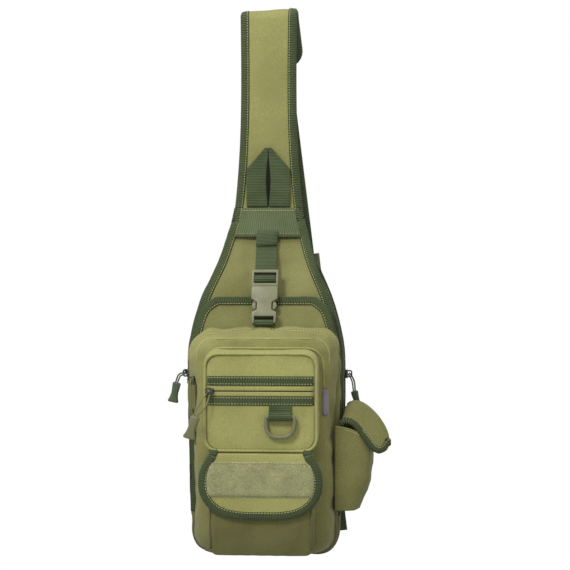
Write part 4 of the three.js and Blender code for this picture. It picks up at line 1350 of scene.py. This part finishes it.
def build_lower_flap():
    rows = [*straight(FLAP["top"], -564, 3.0), -567, -570, -572.5, -574.5, -576, -577, FLAP["bottom"]]
    flap = shell("lower_flap_look", rows, flap_half, lambda x, z: FLAP["front"] + flap_depth(x, z),
                 lambda x, z: FLAP["back"] + flap_depth(x, z), walls=1, material="bright", columns=30)
    del flap["pinned"]
    subdivide(flap)
    across_hinge(flap, "lower_flap")
    half_loop = [Vector((flap_half(z), 0, z)) for z in rows]
    edge = [*half_loop, *[Vector((-p.x, 0, p.z)) for p in reversed(half_loop)]]
    edge = resample(edge, 2.5)
    rails = []
    for index, place in enumerate(edge):
        along = heading(edge, index)
        inward = Vector((along.z, 0, -along.x)).normalized()
        middle = (FLAP["front"] + FLAP["back"]) / 2 + flap_depth(place.x, place.z)
        rails.append((Vector((place.x, middle, place.z)), inward, FRONT))
    for end, sign in ((0, 1), (-1, -1)):
        rails[end] = (rails[end][0], RIGHT * -sign, FRONT)
        tucked = [(Vector((x * sign, y, z)), RIGHT * -sign, FRONT) for x, y, z in FLAP_ENDS]
        rails = [*reversed(tucked), *rails] if end == 0 else [*rails, *tucked]
    strip = wrapped_edge("lower_flap_binding_look", rails, reach=BINDING, gap=lambda part, at: 2.6, thick=0.9)
    across_hinge(strip, "lower_flap_binding")
    low = [r for r in rails if r[0].z < -513]
    stitch_line([p + i * 7.4 + n * 2.2 for p, i, n in low], [FRONT] * len(low), "lower_flap", "thread",
                lift=0.1)
    build_loop_panel()
    cad_piece("flap_hook_strip", "hooks", "lower_flap", "green_webbing", width=0.3)


# ------------------------------------------------------------------ side pouch and its cover
POUCH = {"x": 89.4, "front": -93.0, "rear": -30.0, "top": -478.0, "bottom": -575.0, "thick": 1.8}


def pouch_bulge(z):
    stops = [(-575, 17), (-565, 22), (-553, 28), (-541, 32.5), (-518, 34.8), (-478, 33.6)]
    for (low, a), (high, b) in zip(stops, stops[1:]):
        if z <= high:
            return a + (b - a) * max(0.0, (z - low) / (high - low))
    return stops[-1][1]


def pouch_point(part, drop, inset):
    """part runs round the pouch from its rear seam to its front seam, drop from its rim to its hem."""
    angle = math.pi * (part - 0.5)
    rim = POUCH["top"] - 21 * math.cos(angle) ** 1.2
    z = rim + (POUCH["bottom"] - rim) * drop
    bulge = pouch_bulge(z) - inset
    gather = 2.0 * max(0.0, drop - 0.78) * 4 * math.sin(part * 46) * math.cos(angle)
    reach = (POUCH["front"] - POUCH["rear"]) / 2 * (1 - 0.3 * (34 - pouch_bulge(z)) / 33)
    reach += inset if reach < 0 else -inset
    out = max(0.0, math.cos(angle)) ** 0.6 * (bulge - gather)
    fold = 2.6 * noise.noise(Vector((part * 6, drop * 3.5, 2))) * math.cos(angle)
    fold += 0.9 * noise.noise(Vector((part * 4, drop * 17, 5))) * math.cos(angle)
    middle = (POUCH["front"] + POUCH["rear"]) / 2
    tuck = 9.5 * clamped((part - 0.72) / 0.28) ** 2
    return Vector((POUCH["x"] - tuck + out + fold, middle + math.sin(angle) * reach, z))


def build_side_pouch():
    drops = [0, 0.012, 0.03, *straight(0.07, 0.93, 0.05), 0.96, 0.985, 1.0]
    parts = straight(0, 1, 1 / 30)
    pouch = layered("side_pouch_look", drops, parts,
                    lambda d, p: (pouch_point(p, d, 0), pouch_point(p, d, POUCH["thick"])), "shade")
    subdivide(pouch)
    settle(pouch, "bag", "khaki_shade_cloth", "side_pouch")

    def floor_faces(inset, part):
        place = pouch_point(part, 1, inset)
        return place, place + UP * 1.6

    floor = layered("side_pouch_floor", (0, 4, 8, 14.5), parts, floor_faces, "shade")
    settle(floor, "bag", "khaki_shade_cloth")
    line = [pouch_point(p, 0.035, -0.2) for p in parts[2:-1]]
    stitch_line(line, [Vector((p.x - POUCH["x"], p.y + 61.5, 0)) for p in line], "bag", "thread", lift=0.3)


COVER_LINES = {  # the cover's rear edge, its crest and its front edge, as (x, y, z) from the hinge to the tip
    "rear": [(91.5, -34, -463), (101, -34, -458), (113, -36, -462), (126, -42, -473), (134, -50, -486),
             (137.5, -58, -496), (137, -66, -503)],
    "crest": [(91.5, -62, -460), (100, -62, -454.5), (111, -63, -457), (125, -67, -467), (135.5, -72, -479),
              (140.5, -76, -490), (141, -79, -499)],
    "front": [(85, -89, -480), (93, -90, -475), (101.5, -90, -479), (109, -90, -488.5), (117, -89, -499),
              (123.5, -87.5, -506.5), (130, -86, -509.5)],
}


def cover_point(lines, share, depth, lift=0.0):
    """share runs from the hinge to the tip, and depth from -1 at the rear edge to 1 at the front edge."""
    rear, crest, front = (line[round(share * (len(line) - 1))] for line in lines)
    part = abs(depth)
    bulge = 3.5 * math.sin(math.pi * part) * (1 - 0.6 * share)
    outward = Vector((0.5, -0.6 * depth, 0.75)).normalized()
    tip = Vector((0.6, 0, -0.8)) * (3.5 * math.sin(math.pi * part) * share ** 6)
    return crest.lerp(front if depth > 0 else rear, part) + tip + outward * (bulge + lift)


def build_side_flap():
    count = 23
    lines = []
    for controls in COVER_LINES.values():
        fine = smooth_line(controls, 0.5)
        lines.append([fine[round(k * (len(fine) - 1) / (count - 1))] for k in range(count)])
    shares = straight(0.0, 1.0, 1 / (count - 1))
    depths = straight(-1, 1, 1 / 9)
    cover = layered("side_flap_look", shares, depths,
                    lambda s, d: (cover_point(lines, s, d, 1.1), cover_point(lines, s, d, -1.1)), "shade")
    subdivide(cover)
    across_hinge(cover, "side_flap")
    sides = shares[1:-1]
    edge = [(s, -1.0) for s in sides] + [(1.0, d) for d in depths] + [(s, 1.0) for s in reversed(sides)]
    rim = [cover_point(lines, s, d) for s, d in edge]
    rails = []
    for index, (s, d) in enumerate(edge):
        place = rim[index]
        along = heading(rim, index)
        middle = cover_point(lines, s * 0.9, d * 0.85)
        inward = middle - place
        inward = (inward - along * inward.dot(along)).normalized()
        normal = along.cross(inward).normalized()
        if normal.dot(Vector((0.5, -0.6 * d, 0.75))) < 0:
            normal = -normal
        rails.append((place, inward, normal))
    strip = wrapped_edge("side_flap_binding_look", rails, reach=6.5, gap=lambda part, at: 2.3, thick=0.9)
    across_hinge(strip, "side_flap_binding")
    sewn = [r for r in rails if r[0].x > COVER_HINGE[1]]
    line = [p + i * 5.2 + n * 2.0 for p, i, n in sewn]
    stitch_line(line, [n for _, _, n in sewn], "side_flap", "thread", lift=0.1)


# ------------------------------------------------------------------ buckle and webbings
def buckle_frame(x, y, z):
    """A point given in the buckle's own leaning frame."""
    c, s = math.cos(BUCKLE_LEAN), math.sin(BUCKLE_LEAN)
    return Vector((x, -86.0 + y * c + z * s, -364.5 - y * s + z * c))


WEBBING_PARTS = (-1, -0.97, -0.5, 0, 0.5, 0.97, 1)  # shares of a webbing's half-width, close at its edges


def ribbon_strip(name, route, half, thick, material):
    """A strip of webbing, half wide each side of a line that stays in the plane x = 0."""
    line = smooth_line(route, 2.0)

    def faces(index, part):
        place = line[index] + RIGHT * (half * part)
        rise = heading(line, index).cross(RIGHT) * (thick * (0.3 if abs(part) == 1 else 0.5))
        return place + rise, place - rise

    return layered(name, range(len(line)), (-1, -0.96, -0.5, 0, 0.5, 0.96, 1), faces, material)


# the strap's route round the buckle's bar and up to the cross band, as (y, z) in the buckle's frame
BUCKLE_ROUTE = [(5.6, 66), (4.4, 60), (3.4, 54.5), (2.0, 51.8), (-0.6, 51.2), (-2.6, 52.6), (-3.2, 55.0),
                (-2.2, 57.8), (0.6, 59.4), (2.6, 62.0), (3.2, 66), (4.2, 74), (6.8, 86), (9.4, 98),
                (10.2, 110), (11.2, 121)]
STRAP_END = {"heights": (-257.4, -257.8, -262, -266, -270, -273.6, -274.1), "half": 12.6, "shift": -0.3,
             "y": -31.0, "slope": 0.53, "thick": 2.6, "tilt": math.radians(3)}


def build_strap_end():
    """The compression strap's end, turned over and sewn down on the cross band, a little askew."""
    heights = STRAP_END["heights"]

    def faces(z, part):
        edge = 0.8 if abs(part) == 1 or z in (heights[0], heights[-1]) else STRAP_END["thick"]
        depth = STRAP_END["y"] - (heights[0] - z) * STRAP_END["slope"]
        x = STRAP_END["half"] * part
        place = Vector((x + STRAP_END["shift"], depth, z + x * math.sin(STRAP_END["tilt"])))
        return place + FRONT * edge, place + BACK * 1.4

    fold = layered("webbing_end_fold", heights, WEBBING_PARTS, faces, "webbing")
    settle(fold, "bag", "green_webbing")


def build_buckle():
    for node, body in (("buckle_socket", "bag"), ("buckle_plug", "bag"), ("plug_prong_left", "left_prong"),
                       ("plug_prong_right", "right_prong")):
        cad_piece(node, "plastic", body, "moulded_plastic", width=0.9 if node == "buckle_socket" else 0.6,
                  segments=3)
    cad_piece("buckle_webbing_lower", "webbing", "bag", "green_webbing", width=0.4)
    route = [buckle_frame(0, y, z) for y, z in BUCKLE_ROUTE]
    ribbon = ribbon_strip("buckle_webbing_look", route, half=12.2, thick=1.2, material="webbing")
    settle(ribbon, "bag", "green_webbing", "buckle_webbing_upper")
    build_strap_end()


def rear_frame(x, y, z):
    """A point given in the rear webbing's own leaning frame."""
    along = Vector((math.sin(LEAN), 0, -math.cos(LEAN)))
    across = Vector((math.cos(LEAN), 0, math.sin(LEAN)))
    return Vector((7.0, 3.9, -62.0)) + across * x + BACK * y - along * z


def rear_strip(name, low, high, y):
    half, thick = 19.0, 1.6

    def faces(z, part):
        rise = thick / 2 - (0.25 if abs(part) == 1 else 0.0)
        return rear_frame(half * part, y - rise, z), rear_frame(half * part, y + rise, z)

    return layered(name, straight(low, high, 4.0), WEBBING_PARTS, faces, "webbing")


def build_rear_strap():
    strip = rear_strip("strap_webbing_look", low=-503.7, high=32.0, y=0)
    settle(strip, "bag", "green_webbing", "strap_webbing")
    back = rear_strip("return_webbing_look", low=-503.7, high=-232.0, y=6.8)
    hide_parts("return_webbing")
    start, end = rear_frame(0, 0, -480) * MM, rear_frame(0, 0, -260) * MM
    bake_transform(back)
    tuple(start)
    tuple(end)
    cad_piece("webbing_turn", "webbing", "bag", "green_webbing", width=0.3)
    cad_piece("anchor_tab", "webbing", "bag", "green_webbing", width=0.4)
    cad_piece("strap_ring", "dark_plastic", "bag", "moulded_plastic", width=0.8, segments=3)
    cad_piece("tri_glide", "plastic", "tri_glide", "moulded_plastic", width=0.7, segments=3)


# ------------------------------------------------------------------ zips, sliders and pulls
MAIN_ZIP = {"y": -24, "run": (-300, -572), "half": 5}
MID_ZIP = {"y": -70, "run": (-346, -560)}
FRONT_ZIP = {"x": -76.4, "y": -94, "run": (-404, -500)}
COIL_STEP, COIL_WAVE = 1.5, 0.5  # the zip's coil zigzags this much about its line


# the zip tape's section, as (share of its half-width, height above the cloth)
TAPE_SECTION = ((-1, 0.1), (-0.95, 0.7), (0, 0.8), (0.95, 0.7), (1, 0.1))


def zip_tape_faces(z, section):
    """The main zip's tape lies on the right side of the main body."""
    part, lift = section
    inward = side_inward(main_half, z, 1)
    spot = Vector((main_half(z), MAIN_ZIP["y"] + MAIN_ZIP["half"] * part, z))
    return spot - inward * (lift + 0.6), spot + inward * 0.4


def build_zips():
    tape = layered("main_zip_tape", straight(*MAIN_ZIP["run"], 4.0), TAPE_SECTION, zip_tape_faces, "webbing")
    settle(tape, "bag", "green_webbing", "main_zip")
    for name, place, half, lift in (("main", MAIN_ZIP, main_half, 2.0), ("mid", MID_ZIP, mid_half, 0.8)):
        for side in (-1, 1):
            line = []
            for index, z in enumerate(straight(*place["run"], COIL_STEP)):
                spot = Vector((half(z) * side, place["y"] + COIL_WAVE * (-1) ** index, z))
                line.append(spot - side_inward(half, z, side) * lift)
            chain = tube(f"{name}_zip_chain_{side}", line, radius=1.0, material="coil", sides=6)
            settle(chain, "bag", "dark_metal")
    line = []
    for index, z in enumerate(straight(*FRONT_ZIP["run"], COIL_STEP)):
        line.append(Vector((FRONT_ZIP["x"], FRONT_ZIP["y"] + COIL_WAVE * (-1) ** index, z)))
    settle(tube("front_zip_chain", line, radius=1.0, material="coil", sides=6), "bag", "dark_metal")


PULLS = {  # each cord's route from its slider to its grip, and the grip's material
    "upper": ([(-56, -139, -435.6), (-58.5, -140.8, -443), (-63, -146.4, -452), (-70, -149.2, -462)],
              "khaki_rubber"),
    "front": ([(-83, -94, -428), (-83.2, -97, -431), (-83, -99, -448), (-80.6, -99.4, -470)], "khaki_rubber"),
    "mid": ([(-91.6, -68, -421), (-92.6, -71.4, -421.2), (-98, -72.4, -423.6), (-101, -72, -430.4)],
            "rubber"),
    "main": ([(95, -24, -424), (97.2, -21, -426.5), (100.4, -20, -434), (101.4, -20, -443)], "rubber"),
}
LOOP_WIRE = 1.8
GRIP_LEAN = {"upper": 17, "front": 0, "mid": 12, "main": -14}
GRIP_SCALE = {"upper": 1.22, "front": 0.8, "mid": 1.1, "main": 1.0}
LOOP_OPEN = {"upper": 2.6, "front": 0.2, "mid": 0.3, "main": 0.3}  # how far the strands part midway


def pull_loop(route, parting):
    """A doubled cord: from the bail down one strand, round inside the grip and up the other strand."""
    line = smooth_line(route, 1.2)
    tail = (line[-1] - line[-2]).normalized()
    line += [line[-1] + tail * k for k in (1.5, 3.0, 4.5)]
    strands = ([], [])
    total = lengths(line)
    for index, place in enumerate(line):
        along = heading(line, index)
        across = along.cross(FRONT if abs(along.y) < 0.8 else UP).normalized()
        share = total[index] / total[-1]
        open_by = 0.95 + parting * math.sin(math.pi * share) ** 1.2
        for strand, sign in zip(strands, (-1, 1)):
            strand.append(place + across * (open_by * sign))
    turn = line[-1] + tail * 1.2
    return resample([*strands[0], turn, *reversed(strands[1])], 1.0)


def build_grip(name, top, lean, scale, material, slot):
    """An hourglass grip moulded round the cord, ridged at its waist."""
    length, half, waist, thick = (c * scale for c in (21.0, 5.4, 3.6, 2.6))
    turn = math.radians(lean)
    down = Vector((-math.sin(turn), 0, -math.cos(turn)))
    across = Vector((math.cos(turn), 0, -math.sin(turn)))
    points, faces, corners = [], [], []
    shares = [0, 0.02, 0.06, *straight(0.1, 0.9, 0.025), 0.94, 0.98, 1]
    sides = 20
    for share in shares:
        flare = half * (0.82 + 0.36 * share)
        wide = waist + (flare - waist) * abs(2 * share - 1) ** 1.6
        ridge = 0.28 * math.sin(share * 90) if 0.3 < share < 0.7 else 0.0
        end = min(1.0, 0.72 + 6 * min(share, 1 - share))
        for k in range(sides):
            angle = 2 * math.pi * k / sides
            c, s = math.cos(angle), math.sin(angle)
            u = math.copysign(abs(c) ** 0.5, c) * (wide * end + ridge)
            v = math.copysign(abs(s) ** 0.7, s) * (thick * end + ridge)
            points.append(Vector(top) + down * (length * share) + across * u + FRONT * v)
    for ring in range(len(shares) - 1):
        for k in range(sides):
            n = (k + 1) % sides
            a, b = ring * sides, (ring + 1) * sides
            faces.append([a + k, a + n, b + n, b + k])
            corners.append([(k, ring), (k + 1, ring), (k + 1, ring + 1), (k, ring + 1)])
    for start in (0, (len(shares) - 1) * sides):
        faces.append(list(range(start, start + sides)))
        corners.append([(0, 0)] * sides)
    grip = make_object(f"{name}_grip_look", points, faces, material, corners)
    return settle(grip, f"{name}_pull", slot, f"{name}_pull_grip")


def build_pulls():
    for name, (route, material) in PULLS.items():
        cad_piece(f"{name}_slider", "metal", f"{name}_slider", "dark_metal", width=0.35)
        x, y, z = route[-1]
        light = material == "khaki_rubber"
        grip = build_grip(name, (x, y, z - 1.4), GRIP_LEAN[name], GRIP_SCALE[name], material,
                          "grip_khaki" if light else "grip_rubber")
        path = pull_loop(route, LOOP_OPEN[name])
        cord = tube(f"{name}_cord_look", path, radius=LOOP_WIRE / 2,
                    material="khaki_cord" if light else "cord", sides=8)
        settle(cord, f"{name}_pull", "green_webbing", f"{name}_pull_cord")
        lengths(path)[-1] * MM


# ------------------------------------------------------------------ studio
def area_light(name, place, aim, size, power):
    data = bpy.data.lights.new(name, "AREA")
    data.shape = "DISK"
    data.size = size
    data.energy = power
    lamp = bpy.data.objects.new(name, data)
    bpy.context.scene.collection.objects.link(lamp)
    lamp.location = place
    lamp.rotation_euler = (Vector(aim) - Vector(place)).to_track_quat("-Z", "Y").to_euler()


def build_floor():
    """A pale round floor, below the camera's view."""
    radius, centre, level = 3.6, -2.2, -0.95
    turns = [math.radians(a) for a in range(0, 360, 6)]
    rim = [(radius * math.cos(a), centre + radius * math.sin(a), level) for a in turns]
    mesh = bpy.data.meshes.new("floor")
    mesh.from_pydata(rim, [], [list(range(len(rim)))])
    material, tree, shader = new_material("floor_paint", roughness=0.8, specular=0.2)
    mottle = scaled_noise(tree, coordinates(tree, "Object"), scale=30)
    paint = ramp(tree, mottle, [(0.4, rgb("#c9c8c5")), (0.6, rgb("#cdccc9"))])
    tree.links.new(paint, shader.inputs["Base Color"])
    mesh.materials.append(material)
    floor = bpy.data.objects.new("floor", mesh)
    bpy.context.scene.collection.objects.link(floor)


def build_studio():
    scene = bpy.context.scene
    scene.view_settings.view_transform = "Standard"
    world = bpy.data.worlds.new("studio")
    scene.world = world
    world.use_nodes = True
    tree = world.node_tree
    direction = tree.nodes.new("ShaderNodeSeparateXYZ")
    tree.links.new(coordinates(tree, "Generated"), direction.inputs["Vector"])
    height = combine(tree, "ADD", combine(tree, "MULTIPLY", direction.outputs["Z"], 0.5), 0.5)
    grey = [(0.0, 0.1), (0.3, 0.3), (0.39, 1.0), (0.61, 1.0), (0.66, 0.45), (1.0, 0.6)]
    sky = ramp(tree, height, [(place, (level, level, level, 1)) for place, level in grey])
    tree.links.new(sky, tree.nodes["Background"].inputs["Color"])
    middle = (0.02, -0.03, -0.32)
    area_light("key", (-0.5, -1.15, 0.5), (0.0, -0.1, -0.5), size=0.4, power=15)
    area_light("top", (0.1, -0.45, 1.0), middle, size=0.6, power=8)
    build_floor()
    camera = bpy.data.cameras.new("camera")
    camera.sensor_width = 36
    camera.lens = 90.2
    view = bpy.data.objects.new("camera", camera)
    scene.collection.objects.link(view)
    view.location = (0.1247, -1.7, -0.32)
    aim = Vector((0.0187, 0, -0.32)) - Vector(view.location)
    view.rotation_euler = aim.to_track_quat("-Z", "Y").to_euler()
    scene.camera = view


def build_bag():
    body, strap = build_main_body(), build_strap()
    build_front_bindings(surface_tree(body, strap))
    build_back_panel()
    build_mid()
    build_cross_band()
    build_grab_loop()
    pocket_tree = build_front_pocket()
    build_pocket_seams(pocket_tree)
    upper_tree = build_upper_pocket()
    build_outer_seam(pocket_tree)
    build_upper_zip(upper_tree)
    build_label(pocket_tree)
    build_d_ring()
    build_lower_pocket()
    build_lower_flap()
    build_side_pouch()
    build_side_flap()
    build_buckle()
    build_rear_strap()
    build_zips()
    build_pulls()
    finish_stitches()


build_bag()
build_studio()
